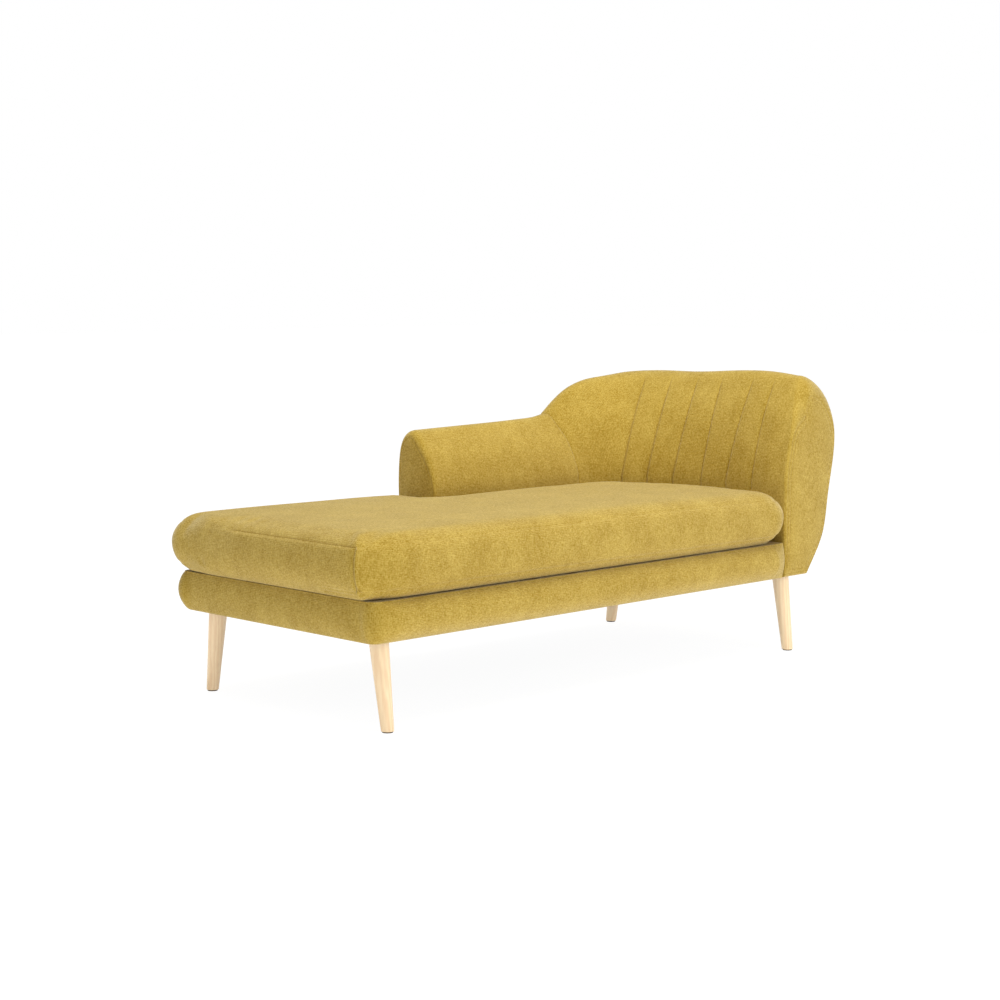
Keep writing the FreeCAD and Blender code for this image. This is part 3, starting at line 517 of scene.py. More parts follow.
def dense(stations, spacing, width):
    """Stations at an even spacing along the shell, with their changes eased."""
    flat = np.array([[*inner, *outer, ridge, share] for inner, outer, ridge, share in stations])
    travelled = along((flat[:, 0:2] + flat[:, 2:4]) / 2)
    count = max(int(travelled[-1] / spacing), 4)
    where = np.linspace(0, travelled[-1], count + 1)
    rows = np.column_stack([np.interp(where, travelled, flat[:, k]) for k in range(flat.shape[1])])
    rows = softened(rows, width)
    return [(r[0:2], r[2:4], r[4], r[5]) for r in rows]


SEAM_SHARE, BACK_SHARE = 0.72, 0.45
ARM_SEAM_DROP = 118 * MM
# Seat-side angle, outside angle and slide, drop below the back's height, ridge share.
BACK_STATIONS = (
    (15, 0, 209, 77, 0.72),
    (30, 0, 161, 47, 0.72),
    (45, 0, 89, 28, 0.72),
    (60, 24.7, 0, 13, 0.63),
    (63, 47, 0, 9, 0.57),
    (67, 70, 0, 7, 0.52),
    (72, 90, 5, 6, 0.49),
    (78, 90, 105, 6, 0.46),
    (84, 90, 205, 3, BACK_SHARE),
    (90, 90, 320, 0, BACK_SHARE),
)
ARM_STATIONS = ((0, 140, 0.62), (0.3, 136, 0.64), (0.6, 132, 0.66), (0.85, 127, 0.69))
SEAM_STATION = (tub_point(0), [SEAM_X - SEAM_SKEW, REAR_FACE], BACK_TOP - ARM_SEAM_DROP, SEAM_SHARE)
STEPS_BETWEEN = 6
ROW_SPACING = 2.0 * MM
EASE_ROWS = 18


def back_rows():
    table = np.array(BACK_STATIONS, float)
    steps = np.arange(0, len(table) - 1 + TINY, 1 / STEPS_BETWEEN)
    made = [SEAM_STATION]
    for step in steps:
        angle, out, slide, drop, share = [np.interp(step, range(len(table)), table[:, k]) for k in range(5)]
        made.append((tub_point(angle), shell_point(out, slide * MM), BACK_TOP - drop * MM, share))
    end = -FRONT_FACE
    made.append(([BACK_FACE, end], [BACK_OUT, end], BACK_TOP, BACK_SHARE))
    return dense(made, ROW_SPACING, EASE_ROWS)


def arm_rows():
    made = []
    for part, drop, share in ARM_STATIONS:
        x = ARM_FOOT + (SEAM_X - ARM_FOOT) * part
        made.append(([x, ARM_INNER], [x, REAR_FACE], BACK_TOP - drop * MM, share))
    made.append(SEAM_STATION)
    return dense(made, ROW_SPACING, EASE_ROWS)


def soft_depth(points, outline):
    """A smooth measure of how far each point of a flat panel lies inside its outline."""
    ahead = np.roll(outline, -1, axis=0)
    middle, length = (outline + ahead) / 2, np.linalg.norm(ahead - outline, axis=1)
    away = np.linalg.norm(points[:, None, :] - middle[None], axis=2)
    return (length / np.maximum(away, 1e-4) ** 3).sum(axis=1) ** -0.5


PANEL_RINGS, ROLL_ROWS = 16, 11
STRIP_ROWS, STRIP_STEP = 14, 1.1 * MM
CROWN_FADE = 22 * MM
SEWN_WIDE = 1.3 * MM
AIM_LEAST = 0.45
CENTRE_SHARE = 0.999


def rolled_end(outline, way, radii, crown, seams):
    """Rows that roll a section's edge over into an end panel, and then fill the panel.

    Way is the unit vector out of the panel, radii holds each point's own rounding radius, and
    seams lists the (distance from the edge, depth) of lines of stitching round the panel."""
    centre = outline.mean(axis=0)
    tangent = np.roll(outline, -1, axis=0) - np.roll(outline, 1, axis=0)
    tangent /= np.maximum(np.linalg.norm(tangent, axis=1, keepdims=True), TINY)
    normal = np.cross(tangent, way)
    if np.einsum("ij,ij->i", normal, centre - outline).sum() < 0:
        normal = -normal
    aim = centre - outline
    aim -= (aim @ way)[:, None] * way
    aim /= np.linalg.norm(aim, axis=1, keepdims=True)
    normal = aim / np.clip(np.einsum("ij,ij->i", normal, aim), AIM_LEAST, 1)[:, None]
    rows = []
    for turn in np.linspace(0, math.pi / 2, ROLL_ROWS):
        inset = (1 - math.cos(turn)) * radii[:, None] * normal
        back = (1 - math.sin(turn)) * radii[:, None] * way
        rows.append(outline + inset - back)
    rim = rows[-1]
    strip = np.arange(1, STRIP_ROWS + 1) * STRIP_STEP
    flat = [rim + normal * step for step in strip]
    edge = flat[-1]
    middle = centre - (centre @ way) * way + (edge[0] @ way) * way
    flat += [edge + (middle - edge) * part * CENTRE_SHARE for part in np.linspace(0, 1, PANEL_RINGS + 1)[1:]]
    for number, ring in enumerate(flat):
        depth = soft_depth(ring, rim)
        rise = crown * (1 - np.exp(-depth / CROWN_FADE))
        if number < len(strip):
            for distance, deep in seams:
                rise = rise - deep * math.exp(-((strip[number] - distance) / SEWN_WIDE) ** 2)
        rows.append(ring + way * rise[:, None])
    return np.array(rows)


# Pinched channel seams on the back's seat side: where each starts over the cushion and where it ends above.
CHANNEL_FOOT_Y = (0.146, 0.085, 0.017, -0.062, -0.137, -0.220)
CHANNEL_HEAD_Y = (0.096, 0.039, -0.033, -0.101, -0.190, -0.247)
CHANNEL_PUFF = 3.2 * MM
SEAM_DEEP, SEAM_WIDE = 3.4 * MM, 2.1 * MM
CHANNEL_FADE = (0.86, 0.97)
SIDE_SWELL = 0.6
STITCH_FADE, STITCH_LIFT = 0.3, 0.2 * MM


def channelled(points, normals, plan_line):
    """Presses the channel seams into the back and lets the cloth swell between them."""
    travelled = along(plan_line)
    order = np.argsort(plan_line[:, 1])
    foot, head = (np.interp(y, plan_line[order, 1], travelled[order])
                  for y in (CHANNEL_FOOT_Y, CHANNEL_HEAD_Y))
    heights = points[:, :UP_COLUMNS, 2]
    rise = np.clip((heights - LEAN_START) / (BACK_TOP - LEAN_START), 0, 1)
    seat = travelled[:, None] + 0 * heights
    lines = foot + (head - foot) * rise[..., None]
    gaps = np.abs(seat[..., None] - lines)
    nearest = gaps.min(axis=2)
    pitch = np.diff(foot).mean()
    swell = np.clip(1 - np.abs(1 - nearest / (pitch / 2)) ** 3, 0, 1)
    outside = (seat < lines[..., 0]) | (seat > lines[..., -1])
    fade_out = np.exp(-np.maximum(nearest - pitch / 2, 0) / pitch)
    swell = np.where(outside, np.clip(nearest / (pitch / 2), 0, 1) * fade_out * SIDE_SWELL, swell)
    column = np.linspace(0, 1, UP_COLUMNS)[None, :]
    fade = 1 - np.clip((column - CHANNEL_FADE[0]) / (CHANNEL_FADE[1] - CHANNEL_FADE[0]), 0, 1)
    move = CHANNEL_PUFF * swell - SEAM_DEEP * np.exp(-(nearest / SEAM_WIDE) ** 2)
    points[:, :UP_COLUMNS] += normals[:, :UP_COLUMNS] * (move * fade)[..., None]
    sewn = []
    for k in range(lines.shape[2]):
        line = []
        for c in range(UP_COLUMNS):
            past = np.nonzero(seat[:, c] > lines[:, c, k])[0]
            if len(past) and fade[0, c] > STITCH_FADE and heights[past[0], c] > CUSHION_MIDDLE:
                line.append(points[past[0], c] + normals[past[0], c] * STITCH_LIFT)
        sewn.append(np.array(line))
    return points, sewn


END_ROUND_TOP, END_ROUND_SIDE = 44 * MM, 8 * MM
ROUND_HEIGHT = 0.16


def end_radii(outline, top_round, side_round, ridge):
    """Each point's rounding radius at an end panel: large over the ridge and small down the sides."""
    radii = np.full(len(outline), side_round)
    rise = np.clip((outline[:, 2] - (ridge - ROUND_HEIGHT)) / ROUND_HEIGHT, 0, 1)
    rise = rise * rise * (3 - 2 * rise)
    return radii + (top_round - side_round) * rise


def oriented(points):
    """Normals of a section grid, turned so that they point out of the upholstery."""
    normals = grid_normals(points)
    middle = points.mean(axis=1, keepdims=True)
    if np.einsum("ijk,ijk->ij", normals, points - middle).mean() < 0:
        normals = -normals
    return normals


PANEL_SEAMS = ((1.5 * MM, 0.9 * MM), (11.5 * MM, 0.7 * MM))
# Along the ridge: where it dips, humps and falls towards the end panel.
RIDGE_DIP, RIDGE_HUMP, RIDGE_FALL = (-0.005, 0.07, 4 * MM), (-0.15, 0.07, 1.5 * MM), (-0.17, 0.166, 18 * MM)
TUCK_DEEP, TUCK_WIDE = 1.4 * MM, 3.0 * MM


def ridge_line(y):
    """The change of the ridge's height along its straight part."""
    change = -RIDGE_DIP[2] * math.exp(-((y - RIDGE_DIP[0]) / RIDGE_DIP[1]) ** 2)
    change += RIDGE_HUMP[2] * math.exp(-((y - RIDGE_HUMP[0]) / RIDGE_HUMP[1]) ** 2)
    part = max((RIDGE_FALL[0] - y) / RIDGE_FALL[1], 0)
    return change - RIDGE_FALL[2] * part * part


def capped(name, grid):
    """A cover piece from a grid of closed rings, with its first and last ring filled."""
    rows, columns = grid.shape[:2]
    faces = grid_faces(rows, columns)
    faces.append(tuple(range(columns - 1, -1, -1)))
    faces.append(tuple(range((rows - 1) * columns, rows * columns)))
    return add_mesh(name, grid.reshape(-1, 3), faces, cover)


# Unevenness of each soft piece: wavelength, seed and depth.
UNEVEN = {"back": (0.33, 3, 1.1 * MM), "arm": (0.3, 8, 1.2 * MM), "base": (0.24, 5, 1.3 * MM),
          "sheet": (0.2, 12, 0.6 * MM), "cushion": (0.30, 21, 2.2 * MM)}
BACK_CROWN, ARM_CROWN = 5 * MM, 4 * MM
ARM_ROUND_TOP, ARM_ROUND_SIDE, ARM_RIDGE_DROP = 18 * MM, 7 * MM, 140 * MM
STRAIGHT_FROM = SEAM_X + 50 * MM
PANEL_CLEAR = 0.5 * MM


def uneven(points, part):
    wavelength, seed, depth = UNEVEN[part]
    return ripple(points, wavelength, seed) * depth


def back_upholstery():
    """The back's padded cover: channelled seat side, rounded ridge, plain outside and end panel."""
    stations = [(a, b, top + ridge_line(a[1]) * (a[0] > STRAIGHT_FROM), share)
                for a, b, top, share in back_rows()]
    points = np.array([section(*s) for s in stations])
    plan_line = np.array([s[0] for s in stations])
    normals = oriented(points)
    points, sewn = channelled(points, normals, plan_line)
    points += normals * uneven(points, "back")[..., None]
    away = along(plan_line)
    tuck = np.exp(-(away / TUCK_WIDE) ** 2) * TUCK_DEEP
    points -= normals * tuck[:, None, None]

    last = stations[-1]
    corner = -CORE_HALF - SKIN_GAP
    outline = closing(points[-1:], [last], True)[0]
    radii = end_radii(outline, END_ROUND_TOP, END_ROUND_SIDE, BACK_TOP)
    panel = rolled_end(outline, np.array([0.0, -1.0, 0.0]), radii, BACK_CROWN, PANEL_SEAMS)
    turn_in = -FRONT_FACE + END_ROUND_TOP
    straight = [i for i, s in enumerate(stations) if s[0][1] > turn_in + 2 * PANEL_CLEAR]
    body = closing(points[straight], [stations[i] for i in straight], False)
    shoulder = closing(points[-1:], [last], False)[0]
    shoulder[:, 1] = np.maximum(panel[0][:, 1], corner)
    turned = outline.copy()
    turned[:, 1] = shoulder[:, 1]
    share = np.clip((outline[:, 2] - LEAN_START) / (last[2] - LEAN_START), 0, 1)
    for ring in (shoulder, turned, *panel[:ROLL_ROWS]):
        ring[:, 2] += share * [ridge_line(y) - ridge_line(-FRONT_FACE) for y in ring[:, 1]]
    grid = np.concatenate([body, shoulder[None], turned[None], panel])
    settle(capped("back_upholstery", grid), "frame",
           ("back_inside_cover", "back_outside_cover", "back_end_cover", "back_foam"))
    return panel, sewn


ARM_SEAMS = ((1.5 * MM, 0.9 * MM),)


def arm_upholstery():
    """The arm's padded cover and its end panel."""
    stations = arm_rows()
    points = np.array([section(*s) for s in stations])
    normals = oriented(points)
    points += normals * uneven(points, "arm")[..., None]
    last = along(np.array([s[0] for s in stations]))
    tuck = np.exp(-((last[-1] - last) / TUCK_WIDE) ** 2) * TUCK_DEEP
    points -= normals * tuck[:, None, None]
    body = closing(points, stations, False)
    outline = body[0]
    radii = end_radii(outline, ARM_ROUND_TOP, ARM_ROUND_SIDE, BACK_TOP - ARM_RIDGE_DROP)
    panel = rolled_end(outline, np.array([-1.0, 0.0, 0.0]), radii, ARM_CROWN, ARM_SEAMS)
    over_rail = panel[..., 1] < CORE_HALF
    panel[..., 2] = np.where(over_rail, np.maximum(panel[..., 2], RAIL_TOP + SKIN_GAP), panel[..., 2])
    inner = body[(body[:, :, 0] > panel[0][:, 0].max() + PANEL_CLEAR).all(axis=1)]
    grid = np.concatenate([panel[::-1], inner])
    settle(capped("arm_upholstery", grid), "frame",
           ("arm_cover", "arm_end_cover", "arm_foam"))


# Base

BASE_BULGE, FOOT_BULGE, TOP_FLARE = 36 * MM, 15 * MM, 9 * MM
NEAR_BASE_CORNER, FAR_BASE_CORNER = 20 * MM, 10 * MM
HEAD_TAPER = 60 * MM
SKIN_COLUMNS = 40
SKIN_SPACING = 4 * MM
# The near corner: how far its fuller cloth reaches, how much flatter it is, and its small gathers.
CORNER_REACH, CORNER_FLAT = 45 * MM, 0.25
GATHER_REACH, GATHER_PITCH, GATHER_DEEP = 35 * MM, 4.5 * MM, 0.6 * MM
BULGE_PEAK, BULGE_SQUARE, BULGE_EASE = 1.02, 0.72, 10


def rounded_path(corners, radii, spacing):
    """An evenly spaced plan line through the corners with each one rounded."""
    points = []
    corners = [np.array(c, float) for c in corners]
    for i, corner in enumerate(corners):
        if i in (0, len(corners) - 1):
            points.append(corner)
            continue
        before, after = corners[i - 1] - corner, corners[i + 1] - corner
        before /= np.linalg.norm(before)
        after /= np.linalg.norm(after)
        radius = radii[i]
        half = math.acos(np.clip(before @ after, -1, 1)) / 2
        reach = radius / math.tan(half)
        centre = corner + (before + after) / np.linalg.norm(before + after) * radius / math.sin(half)
        one, two = corner + before * reach, corner + after * reach
        a, b = np.arctan2(*(one - centre)[::-1]), np.arctan2(*(two - centre)[::-1])
        turn = (b - a + math.pi) % (2 * math.pi) - math.pi
        for step in np.linspace(0, 1, max(int(abs(turn) * radius / spacing), 6) + 1):
            angle = a + turn * step
            points.append(centre + radius * np.array([math.cos(angle), math.sin(angle)]))
    line = np.array(points)
    travelled = along(line)
    where = np.linspace(0, travelled[-1], int(travelled[-1] / spacing) + 1)
    return np.column_stack([np.interp(where, travelled, line[:, k]) for k in range(2)])


def base_upholstery():
    """The padded skin round the base's rear, foot and front sides."""
    corners = [(ARM_FOOT - SKIN_GAP, BASE_HALF), (BASE_FOOT, BASE_HALF), (BASE_FOOT, -BASE_HALF),
               (SEAT_END - SKIN_GAP, -BASE_HALF)]
    line = rounded_path(corners, [0, FAR_BASE_CORNER, NEAR_BASE_CORNER, 0], SKIN_SPACING)
    tangent = np.gradient(line, axis=0)
    tangent /= np.linalg.norm(tangent, axis=1, keepdims=True)
    outward = np.column_stack([tangent[:, 1], -tangent[:, 0]])
    if outward[0, 1] < 0:
        outward = -outward
    travelled = along(line)
    foot_part = np.abs(outward[:, 0])
    bulge = BASE_BULGE + (FOOT_BULGE - BASE_BULGE) * softened(foot_part[:, None], BULGE_EASE)[:, 0]
    corner = np.exp(-(np.linalg.norm(line - corners[2], axis=1) / CORNER_REACH) ** 2)
    bulge = bulge * (1 - CORNER_FLAT * corner)
    taper = np.clip((SEAT_END - line[:, 0]) / HEAD_TAPER, 0, 1) ** 0.5
    flare = TOP_FLARE * np.where(outward[:, 1] < 0, taper, 1)
    bulge = bulge * np.where(outward[:, 1] < -0.5, taper, 1)
    t = np.linspace(0, 1, SKIN_COLUMNS)
    z = FLOOR_GAP + (DECK_TOP - FLOOR_GAP) * t
    shape = np.sin(np.pi * np.clip(t * BULGE_PEAK, 0, 1)) ** BULGE_SQUARE
    rows = []
    for i in range(len(line)):
        out = bulge[i] * shape + flare[i] * t ** 3
        spread = line[i] + outward[i] * out[:, None]
        skin = np.column_stack([spread, z])
        inner = line[i] - outward[i] * (RAIL_INSET - SKIN_GAP)
        top = np.array([*inner, DECK_TOP - SKIN_GAP])
        foot = np.array([*inner, FLOOR_GAP])
        rows.append(np.vstack([skin, top, foot]))
    points = np.array(rows)
    normals = np.zeros_like(points)
    normals[:, :SKIN_COLUMNS, :2] = outward[:, None, :]
    turn_at = travelled[np.argmax(corner * (line[:, 1] < 0))]
    near = np.exp(-((travelled[:, None] - turn_at) / GATHER_REACH) ** 2)
    dents = uneven(points, "base") - near * GATHER_DEEP * np.cos(travelled[:, None] / GATHER_PITCH)
    points += normals * (dents * np.concatenate([np.sin(np.pi * t), [0, 0]]))[..., None]
    settle(capped("base_upholstery", points), "frame",
           [n for n in frame["nodes"] if n.startswith(("base_cover", "base_padding"))])


DECK_CELL = 6 * MM
BORDER, BORDER_DEEP, BORDER_WIDE = 70 * MM, 0.8 * MM, 4 * MM
DECK_SAG, DECK_SAG_REACH = 3 * MM, 0.25


def deck_pad():
    """The lined pad under the cushion, slightly sunk in the middle, with a sewn border."""
    cells = DECK_CELL
    xs = np.arange(CORE_FOOT + SKIN_GAP, SEAT_END, cells)
    ys = np.linspace(-CORE_HALF + SKIN_GAP, CORE_HALF - SKIN_GAP, int(2 * CORE_HALF / cells))
    grid_x, grid_y = np.meshgrid(xs, ys, indexing="ij")
    notch = (grid_x > ARM_FOOT - cells) & (grid_y > ARM_INNER - cells)
    edge = np.minimum.reduce([grid_x - xs[0], xs[-1] - grid_x, grid_y - ys[0], ys[-1] - grid_y])
    dip = BORDER_DEEP * np.exp(-((edge - BORDER) / BORDER_WIDE) ** 2)
    sag = DECK_SAG * np.clip(edge / DECK_SAG_REACH, 0, 1) ** 2
    top = DECK_TOP - dip - sag
    floor = RAIL_TOP + SKIN_GAP
    rows, columns = grid_x.shape
    upper = np.dstack([grid_x, grid_y, top]).reshape(-1, 3)
    lower = np.dstack([grid_x, grid_y, np.full_like(top, floor)]).reshape(-1, 3)
    inside = ~notch
    cell_in = inside[:-1, :-1] & inside[1:, :-1] & inside[:-1, 1:] & inside[1:, 1:]
    count = rows * columns
    faces, edges = [], {}
    for i in range(rows - 1):
        for j in range(columns - 1):
            if not cell_in[i, j]:
                continue
            ring = (i * columns + j, (i + 1) * columns + j, (i + 1) * columns + j + 1, i * columns + j + 1)
            faces.append(ring)
            faces.append(tuple(v + count for v in reversed(ring)))
            for a, b in zip(ring, ring[1:] + ring[:1]):
                edges[frozenset((a, b))] = edges.get(frozenset((a, b)), []) + [(a, b)]
    for sides in edges.values():
        if len(sides) == 1:
            a, b = sides[0]
            faces.append((b, a, a + count, b + count))
    piece = add_mesh("deck_pad", np.vstack([upper, lower]), faces, SLOT_MATERIALS["deck_cloth"])
    bm = bmesh.new()
    bm.from_mesh(piece.data)
    bmesh.ops.delete(bm, geom=[v for v in bm.verts if not v.link_faces], context="VERTS")
    bm.to_mesh(piece.data)
    bm.free()
    settle(piece, "frame", ("deck_cloth", "deck_foam", "spring_insulator"))


SHEET_INSET, SHEET_DROP, SHEET_THICK = 9 * MM, 0.2 * MM, 0.5 * MM
SHEET_CELLS = (190, 90)
SHEET_SAG, SHEET_SAG_REACH = 2.5 * MM, 0.12


def dust_sheet():
    """The thin sheet stapled under the frame, sagging a little between its fixings."""
    edge = SHEET_INSET
    x0, x1, half = BASE_FOOT + edge, BASE_HEAD - edge, BASE_HALF - edge
    xs, ys = np.linspace(x0, x1, SHEET_CELLS[0]), np.linspace(-half, half, SHEET_CELLS[1])
    grid_x, grid_y = np.meshgrid(xs, ys, indexing="ij")
    inside = np.minimum.reduce([grid_x - x0, x1 - grid_x, grid_y + half, half - grid_y])
    rise = np.clip(inside / SHEET_SAG_REACH, 0, 1)
    level = np.dstack([grid_x, grid_y, np.zeros_like(grid_x)])
    sag = SHEET_SAG * rise ** 2 + uneven(level, "sheet") * rise
    top = np.full_like(grid_x, FLOOR_GAP - SHEET_DROP) - np.maximum(sag, 0)
    upper = np.dstack([grid_x, grid_y, top])
    lower = upper - np.array([0, 0, SHEET_THICK])
    rows, columns = grid_x.shape
    count = rows * columns
    quads = grid_faces(rows, columns, False)
    faces = quads + [tuple(v + count for v in reversed(f)) for f in quads]
    rim = ([i * columns for i in range(rows)] + [(rows - 1) * columns + j for j in range(1, columns)]
           + [i * columns + columns - 1 for i in range(rows - 2, -1, -1)] + list(range(columns - 2, 0, -1)))
    faces += [(a, b, b + count, a + count) for a, b in zip(rim, rim[1:] + rim[:1])]
    piece = add_mesh("dust_sheet", np.vstack([upper.reshape(-1, 3), lower.reshape(-1, 3)]), faces,
                     SLOT_MATERIALS["dust_cloth"])
    settle(piece, "frame", ("dust_cover",))


# Cushion

CUSHION_CROWN, CROWN_REACH, TOP_SLACK = 8 * MM, 0.10, 2 * MM
CUSHION_VOXEL = 9 * MM
FRONT_SIDE, REAR_SIDE = CUSHION_LOW.y, ZIP_LOW.y - 0.4 * MM
CORNER_SEAM_Y = FRONT_SIDE + 38 * MM
NEAR_CORNER, FAR_CORNER, HEAD_CORNER = 150 * MM, 60 * MM, 70 * MM
NOTCH_ROUND, NOTCH_CORNER = 10 * MM, 45 * MM
CUSHION_GAP = 3 * MM
FOOT_INSET, BOW_POINTS, OUTLINE_STEP = 1.5 * MM, 16, 8 * MM
# The head side follows the back's face from this angle, then the tub's corner to the arm.
SWEEP_FROM, SWEEP_POINTS, TURN_FROM, TURN_POINTS = 88, 24, TUB_TURN - 4, 22
FLAT_BAND, FAR_BAND, ROUND_EASE, EDGE_BAND = 3 * MM, 110 * MM, 6, 0.5 * MM
SIM_CAP = 5 * MM
REAR_LOWER, HEAD_LOWER = 7 * MM, 7 * MM
# Where the top starts to lower towards the head, and over what length.
LOWER_FROM, LOWER_LONG = 0.15, 0.45


def arc(centre, radius, start, end, spacing=6 * MM):
    """Points of an arc from one angle to another, in degrees."""
    count = max(int(abs(math.radians(end - start)) * radius / spacing), 5)
    turn = np.radians(np.linspace(start, end, count + 1))
    return [np.array([centre[0] + radius * math.cos(a), centre[1] + radius * math.sin(a)]) for a in turn]


def cushion_outline():
    """The cushion's plan, anticlockwise from the near foot corner, with each point's side name."""
    foot, gap = CUSHION_LOW.x, CUSHION_GAP
    head = BACK_FACE - gap
    points, sides = [], []

    def add(made, side):
        points.extend(made)
        sides.extend([side] * len(made))
    start = np.array([foot + FOOT_INSET, CORNER_SEAM_Y])
    bow = np.linspace(0, 1, BOW_POINTS)[:, None]
    add(list(start + np.array([NEAR_CORNER, FRONT_SIDE - CORNER_SEAM_Y])
             * np.hstack([bow, 1 - (1 - bow) ** 2])), "near")
    r = HEAD_CORNER
    add(arc((head - r, FRONT_SIDE + r), r, 270, 360), "head_corner")
    sweep = [*np.linspace(SWEEP_FROM, TUB_TURN, SWEEP_POINTS), *np.linspace(TURN_FROM, 0, TURN_POINTS)]
    add([np.array(tub_point(a, -gap)) for a in sweep], "head")
    notch_x, notch_y = ARM_FOOT - gap, ARM_INNER - gap
    r = NOTCH_ROUND
    add(arc((notch_x + r, notch_y + r), r, 270, 180), "notch")
    r = NOTCH_CORNER
    add(arc((notch_x - r, REAR_SIDE - r), r, 0, 90), "rear")
    r = FAR_CORNER
    add(arc((foot + r, REAR_SIDE - r), r, 90, 180), "far")
    line, names = [], []
    for i, point in enumerate(points):
        after = points[(i + 1) % len(points)]
        length = np.linalg.norm(after - point)
        steps = max(int(length / OUTLINE_STEP), 1)
        for k in range(steps):
            line.append(point + (after - point) * k / steps)
            names.append(sides[i])
    return np.array(line), names


# Rounding of each side: how far it reaches in at the top and at the bottom, and how square each is.
SIDE_ROUND = {
    "near": (58, 52, 2.5, 2.1), "head_corner": (78, 60, 2.1, 2.0), "head": (34, 30, 2.5, 2.5),
    "notch": (34, 30, 2.5, 2.5), "rear": (80, 62, 2.1, 2.0), "far": (78, 60, 2.1, 2.0),
    "foot": (36, 50, 3.0, 2.0),
}


def side_rounding(line, names):
    """Rounding values for each outline point, eased from side to side."""
    made = np.array([SIDE_ROUND[n] for n in names], float)
    flat_foot = (np.abs(line[:, 0] - CUSHION_LOW.x) < FLAT_BAND) & (line[:, 1] < REAR_SIDE - FAR_BAND)
    made[flat_foot] = SIDE_ROUND["foot"]
    width = ROUND_EASE
    wrapped = np.concatenate([made[-width:], made, made[:width]])
    return softened(wrapped, width)[width:-width] * (MM, MM, 1, 1)


def nearest_on(line, points):
    """For each plan point, its distance to the outline, the closest place on it and that place's index."""
    a, b = line, np.roll(line, -1, axis=0)
    ab = b - a
    best = np.full(len(points), np.inf)
    index = np.zeros(len(points), int)
    spot = np.zeros((len(points), 2))
    for i in range(len(line)):
        t = np.clip(((points - a[i]) @ ab[i]) / max(ab[i] @ ab[i], 1e-12), 0, 1)
        close = a[i] + t[:, None] * ab[i]
        distance = np.linalg.norm(points - close, axis=1)
        better = distance < best
        best[better], index[better], spot[better] = distance[better], i, close[better]
    return best, spot, index


def cushion_shape(points, line, rounding, middle, top, bottom):
    """Moves the points of a flat slab to the crowned, rounded form of the cushion."""
    distance, spot, index = nearest_on(line, points[:, :2])
    t = np.where(points[:, 2] > middle, (points[:, 2] - middle) / (top - middle),
                 (points[:, 2] - middle) / (middle - bottom))
    t = np.clip(t, -1, 1)
    reach = np.where(t > 0, rounding[index, 0], rounding[index, 1])
    power = np.where(t > 0, rounding[index, 2], rounding[index, 3])
    e = np.clip(1 - distance / reach, 0, 1)
    size = np.maximum(e, np.abs(t))
    scale = size / np.maximum((e ** power + np.abs(t) ** power) ** (1 / power), TINY)
    e_new, t_new = e * scale, t * scale
    moved = points.copy()
    inside = np.where(e > 0, reach * (1 - e_new), distance)
    way = (points[:, :2] - spot) / np.maximum(distance, TINY)[:, None]
    pushed = spot + way * inside[:, None]
    sharp = distance < EDGE_BAND
    moved[:, :2] = np.where((e > 0)[:, None] & ~sharp[:, None], pushed, points[:, :2])
    if sharp.any():
        a, b = line[index[sharp]], np.roll(line, -1, axis=0)[index[sharp]]
        run = (b - a) / np.maximum(np.linalg.norm(b - a, axis=1, keepdims=True), TINY)
        inner = np.column_stack([-run[:, 1], run[:, 0]])
        moved[sharp, :2] = spot[sharp] + inner * inside[sharp][:, None]
    moved[:, 2] = middle + np.where(t_new > 0, t_new * (top - middle), t_new * (middle - bottom))
    crown = CUSHION_CROWN * (1 - np.exp(-inside / CROWN_REACH)) * np.clip(t_new, 0, 1)
    moved[:, 2] += crown
    rear = np.clip(moved[:, 1] / REAR_SIDE, 0, 1) ** 2 * np.clip(t_new, 0, 1)
    head = np.clip((moved[:, 0] - LOWER_FROM) / LOWER_LONG, 0, 1) ** 1.5 * np.clip(t_new, 0, 1)
    moved[:, 2] -= REAR_LOWER * rear + HEAD_LOWER * head
    return moved


def slab(line, bottom, top, voxel):
    """A remeshed slab with the given plan."""
    bm = bmesh.new()
    ring = [bm.verts.new((p[0], p[1], bottom)) for p in line]
    face = bm.faces.new(ring)
    made = bmesh.ops.extrude_face_region(bm, geom=[face])
    for vert in made["geom"]:
        if isinstance(vert, bmesh.types.BMVert):
            vert.co.z = top
    bmesh.ops.recalc_face_normals(bm, faces=bm.faces)
    mesh = bpy.data.meshes.new("slab")
    bm.to_mesh(mesh)
    bm.free()
    thing = bpy.data.objects.new("slab", mesh)
    scene.collection.objects.link(thing)
    remesh = thing.modifiers.new("Remesh", "REMESH")
    remesh.mode = "VOXEL"
    remesh.voxel_size = voxel
    return applied(thing)


def applied(thing):
    """The object with its modifiers applied to its mesh."""
    graph = bpy.context.evaluated_depsgraph_get()
    graph.update()
    mesh = bpy.data.meshes.new_from_object(thing.evaluated_get(graph))
    old = thing.data
    thing.modifiers.clear()
    thing.data = mesh
    bpy.data.meshes.remove(old)
    return thing


def coordinates(thing):
    flat = np.empty(len(thing.data.vertices) * 3)
    thing.data.vertices.foreach_get("co", flat)
    return flat.reshape(-1, 3)


def place_points(thing, points):
    thing.data.vertices.foreach_set("co", points.astype(np.float32).ravel())
    thing.data.update()


CLOTH = {
    "quality": 5, "mass": 0.3, "use_pressure": True, "uniform_pressure_force": 4, "tension_stiffness": 12,
    "compression_stiffness": 12, "shear_stiffness": 5, "bending_stiffness": 0.4,
}
SIM_FRAMES = 20
LEAST_PIN = 0.01


